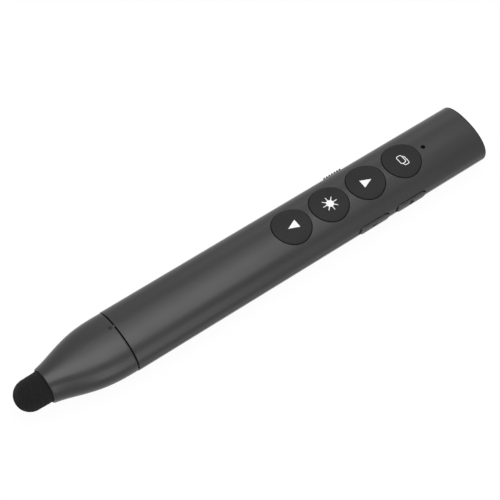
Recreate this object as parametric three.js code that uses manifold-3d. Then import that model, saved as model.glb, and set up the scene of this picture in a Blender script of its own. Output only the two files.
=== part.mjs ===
// A pen-shaped laser pointer with a stylus tip, lying on its belly. All lengths are millimetres.
//
// X runs along the pen, from the stylus tip to the laser window. Z is up, and Y points to the power slider.
// Pieces are placed from the pen's axis, where it passes under the middle of the button row. The last group
// moves that point, so that the origin lies on the table under the middle of the whole pen.

import * as THREE from "three";
import { mergeVertices } from "three/addons/utils/BufferGeometryUtils.js";
import Module from "manifold-3d";

// Body section and length
const BODY_HALF_WIDTH = 10;
const BODY_HALF_HEIGHT = 6.5;
const BELLY_CUT = 0.3;
const SECTION_POWER = 2.2;
const WALL = 1.4;
const SEAM_TO_BUTTONS = 79.6;
const BUTTONS_TO_TAIL = 45.5;
const SEAM_GAP = 0.35;
const FIT_GAP = 0.3;
const OVERRUN = 4;

// Two rubber feet, set into the flat of the belly
const FOOT_LENGTH = 12;
const FOOT_WIDTH = 5;
const FOOT_PROUD = 0.3;
const FOOT_SINK = 0.5;
const FOOT_SETBACK = 14;
const FOOT_CLEARANCE = 0.1;

// Retaining grooves inside the shells, which hold the spigot and the end cap
const GROOVE_DEPTH = 0.7;
const GROOVE_WIDTH = 1.6;

// Inner lips that line the two shells up
const LIP_THICKNESS = 0.8;
const LIP_RISE = 1.3;
const LIP_ROOT = 1.6;
const LIP_LENGTH = 8;
const LIP_PLACE_SHARES = [-0.78, -0.5, 0.76];

// Nose cap: it starts as the body section and ends as a round collar
const NOSE_LENGTH = 23.9;
const NOSE_STEP = 0.1;
const NOSE_WALL = 1.3;
const NOSE_WAVE_SHARE = 0.84;
const NOSE_SHOULDER_POWER = 1.4;
const COLLAR_RADIUS = 5.25;
const TIP_BLOCK_LENGTH = 7.3;
const TIP_BORE_RADIUS = 4.2;

// Stylus tip
const SLEEVE_THICKNESS = 0.8;
const TIP_RADIUS = 4.68;
const TIP_REACH = 9;
const TIP_SHOULDER = 0.5;
const FABRIC_THICKNESS = 0.6;
const NECK_LENGTH = 5.4;

// Front spigot, which carries the nose cap and stows the receiver
const SPIGOT_REACH = 5.4;
const SPIGOT_DEPTH = 12.1;
const SPIGOT_FLANGE_PLACE = 5;
const SPIGOT_HOLLOW = 3.6;
const SPIGOT_RIM = 1.2;

// Wireless receiver with its plug
const PLUG_WIDTH = 12;
const PLUG_HEIGHT = 4.5;
const PLUG_LENGTH = 12;
const PLUG_SHEET = 0.35;
const RECEIVER_WIDTH = 13.6;
const RECEIVER_HEIGHT = 6.4;
const RECEIVER_LENGTH = 5;
const RECEIVER_CORNER = 2.2;
const RECEIVER_BOARD_WIDTH = 10.2;
const RECEIVER_BOARD_THICKNESS = 1.4;
const RECEIVER_BOARD_BACK = 1.2;
const RECEIVER_BOARD_DEPTH = 3.6;

// Main board and its two screws
const BOARD_DROP = 1.6;
const BOARD_THICKNESS = 1;
const BOARD_SIDE_ROOM = 4;
const BOARD_FRONT = 28.5;
const POST_RADIUS = 1.8;
const SCREW_RADIUS = 0.8;
const SCREW_LENGTH = 3;
const SCREW_HEAD_RADIUS = 1.6;
const SCREW_HEAD_HEIGHT = 0.8;
const SCREW_SLOT_WIDTH = 0.5;
const SCREW_SLOT_DEPTH = 0.35;
const FRONT_SCREW_SETBACK = 3.3;
const REAR_SCREW_BEFORE_LAMP = 3.2;

// Round buttons on the top
const BUTTON_COUNT = 4;
const BUTTON_PITCH = 13.5;
const BUTTON_RADIUS = 5.75;
const BUTTON_PROUD = 0.12;
const BUTTON_CROWN = 3.1;
const BUTTON_RIM = 0.75;
const BUTTON_FLANGE = 0.7;
const BUTTON_FLANGE_LIFT = 0.9;
const BUTTON_BOSS_RADIUS = 1.4;

// Push switches under the buttons
const SWITCH_SIZE = 5.2;
const SWITCH_HEIGHT = 2;
const SWITCH_SPACING = 0.4;
const SWITCH_BORE_DEPTH = 1.3;
const PLUNGER_RADIUS = 1.2;
const PLUNGER_RISE = 1;
const PLUNGER_INSIDE = 0.5;

// Volume keys on the near side
const KEY_LENGTH = 10.2;
const KEY_HEIGHT = 2.85;
const KEY_PROUD = 0.5;
const KEY_PLACE = 3.3;
const KEY_PITCH = 13.75;
const KEY_THICKNESS = 3;
const KEY_FLANGE_LENGTH = 1;
const KEY_FLANGE_HALF_HEIGHT = 2.3;
const KEY_MARK_LENGTH = 1.9;
const KEY_MARK_WIDTH = 0.45;
const KEY_MARK_DEPTH = 0.3;

// Side switches behind the volume keys
const SIDE_SWITCH_LENGTH = 4;
const SIDE_SWITCH_HEIGHT = 1.8;
const SIDE_POCKET_DEPTH = 1.4;
const SIDE_PLUNGER_LENGTH = 1.4;
const SIDE_PLUNGER_HEIGHT = 0.6;
const SIDE_PLUNGER_INSIDE = 0.6;

// Power slider on the far side
const SLIDER_PLACE = 3.5;
const SLIDER_LENGTH = 8;
const SLIDER_HEIGHT = 2.8;
const SLIDER_TRAVEL = 2;
const SLIDER_FLANGE_LENGTH = 1;
const SLIDER_FLANGE_HALF_HEIGHT = 2.1;
const RIDGE_COUNT = 7;
const RIDGE_PITCH = 0.95;
const RIDGE_WIDTH = 0.45;
const RIDGE_PROUD = 0.5;
const SLIDE_SWITCH_LENGTH = 8.6;
const ACTUATOR_LENGTH = 1.6;

// Status lamp and its light pipe
const LAMP_PLACE = 28.5;
const LAMP_HOLE_RADIUS = 0.6;
const LAMP_LENGTH = 1.6;
const LAMP_HALF_WIDTH = 0.6;
const LAMP_HEIGHT = 0.8;
const PIPE_RADIUS = 1.1;

// Chips on the underside of the board
const CHIP_PLACE = 8.5;
const CHIP_SIZE = 5;
const CHIP_HEIGHT = 0.9;
const CRYSTAL_PLACE = 16.5;
const CRYSTAL_LENGTH = 3.2;
const CRYSTAL_HALF_WIDTH = 1.2;

// Battery, its foam pad, socket and leads
const BATTERY_SIDE_ROOM = 3.5;
const BATTERY_HEADROOM = 2.4;
const BATTERY_CORNER = 1.6;
const BATTERY_CLEARANCE = 0.8;
const PAD_THICKNESS = 1.5;
const PAD_HALF_WIDTH = 2.4;
const PAD_SETBACK = 3;
const RIB_WIDTH = 1.2;
const RIB_HALF_LENGTH = 4.5;
const RIB_PLACE_SHARES = [0.2, 0.8];
const STOP_HEIGHT = 3.2;
const SOCKET_LENGTH = 3.2;
const SOCKET_WIDTH = 3.5;
const SOCKET_HEIGHT = 2.2;
const SOCKET_SETBACK = 0.5;
const LEAD_SPAN = 5;
const LEAD_RADIUS = 0.4;
const LEAD_PITCH = 1.4;
const LEAD_ARCH = 1.2;

// Laser module
const LASER_HEADROOM = 0.9;
const BARREL_RADIUS = 2;
const BARREL_WALL = 0.4;
const BARREL_LENGTH = 11;
const DIODE_FLANGE = 0.7;
const DIODE_LENGTH = 2.8;
const LENS_THICKNESS = 1.2;
const LENS_SETBACK = 1.6;
const APERTURE_RADIUS = 1.1;
const WINDOW_RADIUS = 1.7;
const WINDOW_THICKNESS = 0.6;

// End cap and the charging port in it
const CAP_DEPTH = 4.2;
const CAP_RIM = 0.45;
const CAP_RIM_STEP = 0.08;
const CAP_RIM_ROUND = 0.35;
const CAP_RIM_CLEARANCE = 0.05;
const CAP_FACE = 1.4;
const CAP_FLANGE_PLACE = 2.2;
const PORT_WIDTH = 8.94;
const PORT_HEIGHT = 3.2;
const PORT_LENGTH = 7.4;
const PORT_SHEET = 0.35;
const PORT_ABOVE_BOARD = 0.1;
const PORT_SETBACK = 0.2;
const PORT_TONGUE_WIDTH = 6.6;
const PORT_TONGUE_THICKNESS = 0.7;
const PORT_TONGUE_LENGTH = 5;

// How finely curves are divided
const SECTION_SIDES = 40;
const ROUND_SIDES = 32;
const SMALL_SIDES = 12;
const FINE_SIDES = 8;
const ARC_STEPS = 3;
const TURNED_SIDES = 24;
const NOSE_STATIONS = 8;
const ROUND_STATIONS = 3;
const DOME_STATIONS = 5;
const LEAD_STEPS = 6;
const MERGE_DISTANCE = 0.0001;

// Places that several pieces share
const tail = BUTTONS_TO_TAIL;
const seam = -SEAM_TO_BUTTONS;
const shellFront = seam + SEAM_GAP / 2;
const noseBack = seam - SEAM_GAP / 2;
const collarEnd = noseBack - NOSE_LENGTH;
const belly = BODY_HALF_HEIGHT - BELLY_CUT;
const floor = -(belly - WALL);
const ceiling = BODY_HALF_HEIGHT - WALL;
const boardBottom = -BOARD_DROP;
const boardTop = boardBottom + BOARD_THICKNESS;
const boardSide = BODY_HALF_WIDTH - BOARD_SIDE_ROOM;
const sideSwitchDepth = boardSide - SWITCH_SIZE / 2 - SWITCH_SPACING;
const keyInnerFace = BODY_HALF_WIDTH - KEY_THICKNESS;
const laserHeight = ceiling - LASER_HEADROOM - BARREL_RADIUS;
const capFront = tail - CAP_DEPTH;
const capEnd = tail + CAP_RIM;
const boardBack = capFront - FIT_GAP;
const tipEnd = collarEnd - TIP_REACH;
const spigotFront = seam - SPIGOT_REACH;
const spigotBack = seam + SPIGOT_DEPTH;
const receiverBack = spigotFront - FIT_GAP;
const batterySpan = [spigotBack + BATTERY_CLEARANCE, -BOARD_FRONT - LEAD_SPAN];
const batteryRise = [floor + PAD_THICKNESS, ceiling - BATTERY_HEADROOM];
const footPlaces = [seam + FOOT_SETBACK, tail - FOOT_SETBACK];
const screwPlaces = [-BOARD_FRONT + FRONT_SCREW_SETBACK, LAMP_PLACE - REAR_SCREW_BEFORE_LAMP];
const buttonPlaces = Array.from(
  { length: BUTTON_COUNT },
  (_, i) => (i - (BUTTON_COUNT - 1) / 2) * BUTTON_PITCH,
);
const keyPlaces = [KEY_PLACE, KEY_PLACE + KEY_PITCH];

const wasm = await Module();
wasm.setup();

// Turns a closed three.js geometry into a solid that can be joined and cut, with its faces pointing out.
function solidOf(geometry) {
  const bare = geometry.index ? geometry.toNonIndexed() : geometry.clone();
  bare.deleteAttribute("normal");
  bare.deleteAttribute("uv");
  const merged = mergeVertices(bare, MERGE_DISTANCE);
  const corners = merged.index.array;
  const faces = [];
  for (let i = 0; i < corners.length; i += 3) {
    const [a, b, c] = corners.slice(i, i + 3);
    if (a !== b && b !== c && c !== a) faces.push([a, b, c]);
  }
  const build = (order) =>
    new wasm.Manifold(
      new wasm.Mesh({
        numProp: 3,
        vertProperties: merged.attributes.position.array,
        triVerts: new Uint32Array(faces.flatMap(order)),
      }),
    );
  const made = build((face) => face);
  return made.volume() < 0 ? build(([a, b, c]) => [a, c, b]) : made;
}

// A box between two places on each axis.
function block(xs, ys, zs) {
  const spans = [xs, ys, zs];
  const size = spans.map(([low, high]) => high - low);
  const middle = spans.map(([low, high]) => (low + high) / 2);
  return solidOf(new THREE.BoxGeometry(...size).translate(...middle));
}

// A span of the given length around a middle.
function around(middle, length) {
  return [middle - length / 2, middle + length / 2];
}

// An upright round post.
function post(x, radius, zs, sides = ROUND_SIDES) {
  const geometry = new THREE.CylinderGeometry(radius, radius, zs[1] - zs[0], sides);
  return solidOf(geometry.rotateX(Math.PI / 2).translate(x, 0, (zs[0] + zs[1]) / 2));
}

// A piece turned on an axis along X at the given height. The profile is a list of [x, radius].
function turned(profile, height = 0, sides = TURNED_SIDES) {
  const points = profile.map(([x, radius]) => new THREE.Vector2(radius, x));
  const geometry = new THREE.LatheGeometry(points, sides);
  return solidOf(geometry.rotateZ(-Math.PI / 2).translate(0, 0, height));
}

// A plain rod along X.
function rod(xs, radius, height, sides = TURNED_SIDES) {
  const [low, high] = xs;
  return turned([[low, 0], [low, radius], [high, radius], [high, 0]], height, sides);
}

// A round-ended or round-cornered outline of the given size, centred on a point.
function roundedOutline(x, y, width, height, corner) {
  const radius = Math.min(corner, width / 2, height / 2);
  const right = x + width / 2 - radius;
  const left = x - width / 2 + radius;
  const top = y + height / 2 - radius;
  const bottom = y - height / 2 + radius;
  return new THREE.Shape()
    .absarc(right, bottom, radius, -Math.PI / 2, 0)
    .absarc(right, top, radius, 0, Math.PI / 2)
    .absarc(left, top, radius, Math.PI / 2, Math.PI)
    .absarc(left, bottom, radius, Math.PI, 1.5 * Math.PI);
}

// An outline seen from the side of the pen, carried across it between two places on Y.
function acrossY(outline, ys) {
  const geometry = new THREE.ExtrudeGeometry(outline, {
    depth: ys[1] - ys[0],
    bevelEnabled: false,
    curveSegments: ARC_STEPS,
  });
  return solidOf(geometry.rotateX(Math.PI / 2).translate(0, ys[1], 0));
}

// An outline seen from the end of the pen, carried along it between two places on X.
function alongX(outline, xs) {
  const geometry = new THREE.ExtrudeGeometry(outline, {
    depth: xs[1] - xs[0],
    bevelEnabled: false,
    curveSegments: ARC_STEPS,
  });
  geometry.rotateX(Math.PI / 2).rotateZ(Math.PI / 2);
  return solidOf(geometry.translate(xs[0], 0, 0));
}

// The pen's cross-section, set in from its outer surface by an even step.
function section(inset) {
  return {
    halfWidth: BODY_HALF_WIDTH - inset,
    halfHeight: BODY_HALF_HEIGHT - inset,
    belly: belly - inset,
    power: SECTION_POWER,
  };
}

// One ring of points around a cross-section.
function ring(x, { halfWidth, halfHeight, belly: lowest, power }) {
  const round = (value) => Math.sign(value) * Math.abs(value) ** (2 / power);
  return Array.from({ length: SECTION_SIDES }, (_, i) => {
    const angle = (2 * Math.PI * i) / SECTION_SIDES;
    const z = halfHeight * round(Math.sin(angle));
    return [x, halfWidth * round(Math.cos(angle)), Math.max(z, -lowest)];
  });
}

// A solid through a row of rings, closed by flat ends.
function loft(rings) {
  const first = rings[0];
  const last = rings[rings.length - 1];
  const corners = [];
  for (let i = 0; i < SECTION_SIDES; i += 1) {
    const next = (i + 1) % SECTION_SIDES;
    for (let j = 1; j < rings.length; j += 1) {
      const [a, b, c, d] = [rings[j - 1][i], rings[j - 1][next], rings[j][next], rings[j][i]];
      corners.push(a, b, c, a, c, d);
    }
    corners.push([first[0][0], 0, 0], first[next], first[i]);
    corners.push([last[0][0], 0, 0], last[i], last[next]);
  }
  const geometry = new THREE.BufferGeometry();
  geometry.setAttribute("position", new THREE.Float32BufferAttribute(corners.flat(), 3));
  return solidOf(geometry);
}

// A straight length of the pen's section, set in from its outer surface.
function prism(inset, xs) {
  return loft(xs.map((x) => ring(x, section(inset))));
}

// The nose's cross-section at a share of its length, which turns from the body section into a round collar.
function noseSection(share, inset) {
  const wave = (value) => 1 - Math.cos(Math.PI * NOSE_WAVE_SHARE * value ** NOSE_SHOULDER_POWER);
  const blend = wave(share) / wave(1);
  const back = section(NOSE_STEP + inset);
  const front = COLLAR_RADIUS - inset;
  return {
    halfWidth: THREE.MathUtils.lerp(back.halfWidth, front, blend),
    halfHeight: THREE.MathUtils.lerp(back.halfHeight, front, blend),
    belly: THREE.MathUtils.lerp(back.belly, front, blend),
    power: THREE.MathUtils.lerp(back.power, 2, blend),
  };
}

// Finishes: a dark painted body, black keys, metals and the small electronic parts
const finishes = Object.fromEntries(
  Object.entries({
    shell: [0x4b4b4c, 0.42, 0.15],
    button: [0x1f1f20, 0.6, 0],
    cap: [0x101011, 0.2, 0],
    fabric: [0x18181a, 0.95, 0],
    foam: [0x2b2b2d, 0.9, 0],
    inner: [0x202022, 0.6, 0],
    steel: [0xb9babd, 0.3, 1],
    brass: [0xb08d4a, 0.3, 1],
    glass: [0x8a2f2f, 0.05, 0],
    clear: [0xe6e6e6, 0.2, 0],
    board: [0x1f5a34, 0.5, 0],
    chip: [0x151516, 0.5, 0],
    battery: [0x9aa0a8, 0.4, 0.5],
    red: [0x9c1f1c, 0.5, 0],
    black: [0x141414, 0.5, 0],
    rubber: [0x1b1b1c, 0.85, 0],
  }).map(([name, [color, roughness, metalness]]) => [
    name,
    new THREE.MeshStandardMaterial({ color, roughness, metalness }),
  ]),
);

const pen = new THREE.Group();

// Adds a finished solid to the pen as one named mesh.
function add(name, solid, finish) {
  const { vertProperties, triVerts } = solid.getMesh();
  const geometry = new THREE.BufferGeometry();
  geometry.setAttribute("position", new THREE.BufferAttribute(vertProperties, 3));
  geometry.setIndex(new THREE.BufferAttribute(triVerts, 1));
  const mesh = new THREE.Mesh(geometry.toNonIndexed(), finishes[finish]);
  mesh.geometry.computeVertexNormals();
  mesh.name = name;
  pen.add(mesh);
}

// The whole body tube, before it is split into two shells.
function bodyTube() {
  const outside = prism(0, [shellFront, tail]);
  const inside = prism(WALL, [shellFront - OVERRUN, tail + OVERRUN]);
  const grooves = [seam + SPIGOT_FLANGE_PLACE, capFront + CAP_FLANGE_PLACE].map((x) =>
    prism(WALL - GROOVE_DEPTH, around(x, GROOVE_WIDTH)),
  );
  return grooves.reduce((tube, groove) => tube.subtract(groove), outside.subtract(inside));
}

// The openings in the body's sides: two key slots and the slider's slot.
function sideOpenings() {
  const outer = BODY_HALF_WIDTH + OVERRUN;
  const keySlots = keyPlaces.map((x) =>
    acrossY(
      roundedOutline(x, 0, KEY_LENGTH + 2 * FIT_GAP, KEY_HEIGHT + 2 * FIT_GAP, KEY_HEIGHT),
      [-outer, -keyInnerFace],
    ),
  );
  const slotLength = SLIDER_LENGTH + SLIDER_TRAVEL + 2 * FIT_GAP;
  const slotHeight = SLIDER_HEIGHT + 2 * FIT_GAP;
  const sliderSlot = acrossY(
    roundedOutline(SLIDER_PLACE + SLIDER_TRAVEL / 2, 0, slotLength, slotHeight, FIT_GAP * 2),
    [keyInnerFace, outer],
  );
  return [...keySlots, sliderSlot];
}

// The half of a solid above or below the part line.
function halfOf(solid, side) {
  const reach = BODY_HALF_WIDTH + OVERRUN;
  const zs = side > 0 ? [FIT_GAP / 2, reach] : [-reach, -FIT_GAP / 2];
  return solid.intersect(block([shellFront - OVERRUN, tail + OVERRUN], [-reach, reach], zs));
}

// Two ribs under the upper shell that keep the battery down.
function batteryRibs() {
  const [front, back] = batterySpan;
  return RIB_PLACE_SHARES.map((share) =>
    block(
      around(THREE.MathUtils.lerp(front, back, share), RIB_WIDTH),
      [-RIB_HALF_LENGTH, RIB_HALF_LENGTH],
      [batteryRise[1] + FIT_GAP, BODY_HALF_HEIGHT],
    ).intersect(prism(WALL / 2, [shellFront, tail])),
  );
}

// Lips on both sides of the lower shell, which stand up inside the upper one.
function liningLips() {
  const xs = [shellFront, tail];
  const hollow = prism(WALL + FIT_GAP + LIP_THICKNESS, [shellFront - OVERRUN, tail + OVERRUN]);
  const upright = prism(WALL + FIT_GAP, xs).subtract(hollow);
  const root = prism(WALL / 2, xs).subtract(hollow);
  return LIP_PLACE_SHARES.flatMap((share) =>
    [-1, 1].map((side) => {
      const middle = share < 0 ? -share * seam : share * tail;
      const across = [0, side * BODY_HALF_WIDTH].sort((a, b) => a - b);
      const place = around(middle, LIP_LENGTH);
      const standing = upright.intersect(block(place, across, [-LIP_ROOT, LIP_RISE]));
      return standing.add(root.intersect(block(place, across, [-LIP_ROOT, -FIT_GAP / 2])));
    }),
  );
}

// A post that carries the board, with a hole for its screw.
function boardPost(x) {
  const holeRadius = SCREW_RADIUS + FIT_GAP;
  const holeDepth = SCREW_LENGTH - BOARD_THICKNESS + FIT_GAP;
  return post(x, POST_RADIUS, [floor - WALL / 2, boardBottom], SMALL_SIDES).subtract(
    post(x, holeRadius, [boardBottom - holeDepth, boardBottom + OVERRUN], SMALL_SIDES),
  );
}

function addShells() {
  const tube = sideOpenings().reduce((left, opening) => left.subtract(opening), bodyTube());
  const topHoles = buttonPlaces.map((x) => post(x, BUTTON_RADIUS + FIT_GAP, [0, BODY_HALF_HEIGHT + OVERRUN]));
  topHoles.push(post(LAMP_PLACE, LAMP_HOLE_RADIUS, [0, BODY_HALF_HEIGHT + OVERRUN], SMALL_SIDES));
  const upper = batteryRibs().reduce((shell, rib) => shell.add(rib), halfOf(tube, 1));
  add("upper_shell", topHoles.reduce((shell, hole) => shell.subtract(hole), upper), "shell");

  const stopFront = batterySpan[1] + FIT_GAP;
  const stop = block(
    [stopFront, stopFront + RIB_WIDTH],
    [-RIB_HALF_LENGTH, RIB_HALF_LENGTH],
    [-BODY_HALF_HEIGHT, floor + STOP_HEIGHT],
  ).intersect(prism(WALL / 2, [shellFront, tail]));
  const fittings = [...screwPlaces.map(boardPost), stop, ...liningLips()];
  const lower = fittings.reduce((shell, part) => shell.add(part), halfOf(tube, -1));
  add("lower_shell", footPockets().reduce((shell, pocket) => shell.subtract(pocket), lower), "shell");
}

// The shallow pockets in the belly that the feet sit in.
function footPockets() {
  return footPlaces.map((x) =>
    block(
      around(x, FOOT_LENGTH + 2 * FOOT_CLEARANCE),
      around(0, FOOT_WIDTH + 2 * FOOT_CLEARANCE),
      [-belly - OVERRUN, -belly + FOOT_SINK],
    ),
  );
}

function addFeet() {
  const rise = [-belly - FOOT_PROUD, -belly + FOOT_SINK];
  footPlaces.forEach((x, i) => {
    const foot = block(around(x, FOOT_LENGTH), around(0, FOOT_WIDTH), rise);
    add(`foot_${i === 0 ? "front" : "rear"}`, foot, "rubber");
  });
}

function addNoseCap() {
  const hollowShare = (NOSE_LENGTH - TIP_BLOCK_LENGTH) / NOSE_LENGTH;
  const stations = (end, inset, start) =>
    Array.from({ length: NOSE_STATIONS }, (_, i) => {
      const share = (i / (NOSE_STATIONS - 1)) * end;
      const x = i === 0 ? start : noseBack - share * NOSE_LENGTH;
      return ring(x, noseSection(share, inset));
    });
  const outside = loft(stations(1, 0, noseBack));
  const hollow = loft(stations(hollowShare, NOSE_WALL, noseBack + OVERRUN));
  const bore = rod([collarEnd - OVERRUN, collarEnd + TIP_BLOCK_LENGTH + OVERRUN], TIP_BORE_RADIUS, 0);
  add("nose_cap", outside.subtract(hollow).subtract(bore), "shell");
}

function addStylusTip() {
  const sleeveOuter = TIP_BORE_RADIUS - FIT_GAP;
  const sleeveInner = sleeveOuter - SLEEVE_THICKNESS;
  const sleeveFront = collarEnd + FIT_GAP;
  const sleeveBack = collarEnd + TIP_BLOCK_LENGTH - FIT_GAP;
  const sleeve = [
    [sleeveFront, sleeveInner],
    [sleeveFront, sleeveOuter],
    [sleeveBack, sleeveOuter],
    [sleeveBack, sleeveInner],
    [sleeveFront, sleeveInner],
  ];
  add("tip_sleeve", turned(sleeve), "steel");

  const domeMiddle = tipEnd + TIP_RADIUS;
  const dome = (radius) =>
    Array.from({ length: DOME_STATIONS + 1 }, (_, i) => {
      const angle = ((i / DOME_STATIONS) * Math.PI) / 2;
      const reach = i === 0 ? 0 : radius * Math.sin(angle);
      return [domeMiddle - radius * Math.cos(angle), reach];
    });
  const neckOuter = sleeveInner - FIT_GAP;
  const neckInner = neckOuter - FABRIC_THICKNESS;
  const neckBack = collarEnd + NECK_LENGTH;
  const shoulder = collarEnd - FIT_GAP;
  const fabric = [
    ...dome(TIP_RADIUS),
    [shoulder - TIP_SHOULDER, TIP_RADIUS],
    [shoulder, TIP_RADIUS - TIP_SHOULDER],
    [shoulder, neckOuter],
    [neckBack, neckOuter],
    [neckBack, neckInner],
    [shoulder - FABRIC_THICKNESS, neckInner],
    [shoulder - FABRIC_THICKNESS, TIP_RADIUS - FABRIC_THICKNESS],
    ...dome(TIP_RADIUS - FABRIC_THICKNESS).reverse(),
  ];
  add("fabric_tip", turned(fabric), "fabric");

  const stemRadius = neckInner - FIT_GAP;
  const coreRadius = TIP_RADIUS - FABRIC_THICKNESS - FIT_GAP;
  const coreShoulder = shoulder - FABRIC_THICKNESS - FIT_GAP;
  const core = [
    ...dome(coreRadius),
    [coreShoulder, coreRadius],
    [coreShoulder, stemRadius],
    [neckBack, stemRadius],
    [neckBack, 0],
  ];
  add("tip_core", turned(core, 0, SMALL_SIDES), "foam");
}

function addSpigot() {
  const inset = WALL + FIT_GAP;
  const pocketWidth = PLUG_WIDTH + 2 * FIT_GAP;
  const pocketHeight = PLUG_HEIGHT + 2 * FIT_GAP;
  const pocketBack = receiverBack + PLUG_LENGTH + FIT_GAP * 2;
  const flangeWidth = GROOVE_WIDTH - 2 * FIT_GAP;
  const flange = prism(inset - GROOVE_DEPTH, around(seam + SPIGOT_FLANGE_PLACE, flangeWidth));
  const pocket = block([spigotFront - OVERRUN, pocketBack], around(0, pocketWidth), around(0, pocketHeight));
  const hollow = prism(inset + SPIGOT_RIM, [spigotBack - SPIGOT_HOLLOW, spigotBack + OVERRUN]);
  const spigot = prism(inset, [spigotFront, spigotBack]).add(flange);
  add("front_spigot", spigot.subtract(pocket).subtract(hollow), "inner");
}

function addReceiver() {
  const housingFront = receiverBack - RECEIVER_LENGTH;
  const boardSpan = [receiverBack - RECEIVER_BOARD_DEPTH, receiverBack + PLUG_LENGTH - RECEIVER_BOARD_BACK];
  const pocket = block(
    [boardSpan[0] - FIT_GAP, receiverBack + OVERRUN],
    around(0, RECEIVER_BOARD_WIDTH + 2 * FIT_GAP),
    around(0, RECEIVER_BOARD_THICKNESS + 2 * FIT_GAP),
  );
  const outline = roundedOutline(0, 0, RECEIVER_WIDTH, RECEIVER_HEIGHT, RECEIVER_CORNER);
  add("receiver_housing", alongX(outline, [housingFront, receiverBack]).subtract(pocket), "button");

  const inner = block(
    [receiverBack - OVERRUN, receiverBack + PLUG_LENGTH + OVERRUN],
    around(0, PLUG_WIDTH - 2 * PLUG_SHEET),
    around(0, PLUG_HEIGHT - 2 * PLUG_SHEET),
  );
  const plug = block([receiverBack, receiverBack + PLUG_LENGTH], around(0, PLUG_WIDTH), around(0, PLUG_HEIGHT));
  add("receiver_plug", plug.subtract(inner), "steel");
  add(
    "receiver_board",
    block(boardSpan, around(0, RECEIVER_BOARD_WIDTH), around(0, RECEIVER_BOARD_THICKNESS)),
    "board",
  );
}

// The power cell on its pad, the socket on the board and the two leads between them.
function addBattery() {
  const [batteryFront, batteryBack] = batterySpan;
  const [batteryBottom, batteryTop] = batteryRise;
  const outline = roundedOutline(
    0,
    (batteryBottom + batteryTop) / 2,
    2 * (BODY_HALF_WIDTH - BATTERY_SIDE_ROOM),
    batteryTop - batteryBottom,
    BATTERY_CORNER,
  );
  const padSpan = [batteryFront + PAD_SETBACK, batteryBack - PAD_SETBACK];
  add("battery", alongX(outline, batterySpan), "battery");
  add("battery_pad", block(padSpan, around(0, 2 * PAD_HALF_WIDTH), [floor, batteryBottom]), "foam");

  const socketFront = -BOARD_FRONT + SOCKET_SETBACK;
  const socketMiddle = -(SCREW_HEAD_RADIUS + FIT_GAP + SOCKET_WIDTH / 2);
  add(
    "battery_socket",
    block(
      [socketFront, socketFront + SOCKET_LENGTH],
      around(socketMiddle, SOCKET_WIDTH),
      [boardTop, boardTop + SOCKET_HEIGHT],
    ),
    "clear",
  );

  const leadHeight = boardTop + SOCKET_HEIGHT / 2;
  const ends = [batteryBack + FIT_GAP, socketFront - FIT_GAP];
  ["red", "black"].forEach((colour, i) => {
    const y = socketMiddle + (i - 0.5) * LEAD_PITCH;
    const path = new THREE.CatmullRomCurve3([
      new THREE.Vector3(ends[0], y, leadHeight),
      new THREE.Vector3((ends[0] + ends[1]) / 2, y, leadHeight + LEAD_ARCH),
      new THREE.Vector3(ends[1], y, leadHeight),
    ]);
    const outlineOfLead = new THREE.Shape().absarc(0, 0, LEAD_RADIUS, 0, 2 * Math.PI);
    const lead = new THREE.ExtrudeGeometry(outlineOfLead, {
      extrudePath: path,
      steps: LEAD_STEPS,
      curveSegments: ARC_STEPS,
    });
    add(`battery_lead_${colour}`, solidOf(lead), colour);
  });
}

// The board with its screw holes and the notch for the charging port.
function addBoard() {
  const notchWidth = PORT_WIDTH + 2 * FIT_GAP;
  const portFront = capEnd - PORT_SETBACK - PORT_LENGTH;
  const across = around(0, 2 * boardSide);
  const holes = screwPlaces.map((x) =>
    post(x, SCREW_RADIUS + FIT_GAP, [boardBottom - OVERRUN, boardTop + OVERRUN], SMALL_SIDES),
  );
  const notch = block(
    [portFront - FIT_GAP, boardBack + OVERRUN],
    around(0, notchWidth),
    [boardBottom - OVERRUN, boardTop + OVERRUN],
  );
  const plate = block([-BOARD_FRONT, boardBack], across, [boardBottom, boardTop]);
  add("main_board", [...holes, notch].reduce((board, cut) => board.subtract(cut), plate), "board");

  screwPlaces.forEach((x, i) => {
    const headTop = boardTop + SCREW_HEAD_HEIGHT;
    const shank = post(x, SCREW_RADIUS, [boardTop - SCREW_LENGTH, boardTop + SCREW_HEAD_HEIGHT / 2], FINE_SIDES);
    const head = post(x, SCREW_HEAD_RADIUS, [boardTop, headTop], SMALL_SIDES);
    const slot = block(
      around(x, 2 * SCREW_HEAD_RADIUS + OVERRUN),
      around(0, SCREW_SLOT_WIDTH),
      [headTop - SCREW_SLOT_DEPTH, headTop + OVERRUN],
    );
    add(`board_screw_${i + 1}`, head.add(shank).subtract(slot), "steel");
  });

  const chipTop = [boardBottom - CHIP_HEIGHT, boardBottom];
  add("radio_chip", block([CHIP_PLACE, CHIP_PLACE + CHIP_SIZE], around(0, CHIP_SIZE), chipTop), "chip");
  add(
    "crystal_can",
    block([CRYSTAL_PLACE, CRYSTAL_PLACE + CRYSTAL_LENGTH], around(0, 2 * CRYSTAL_HALF_WIDTH), chipTop),
    "steel",
  );
}

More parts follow.
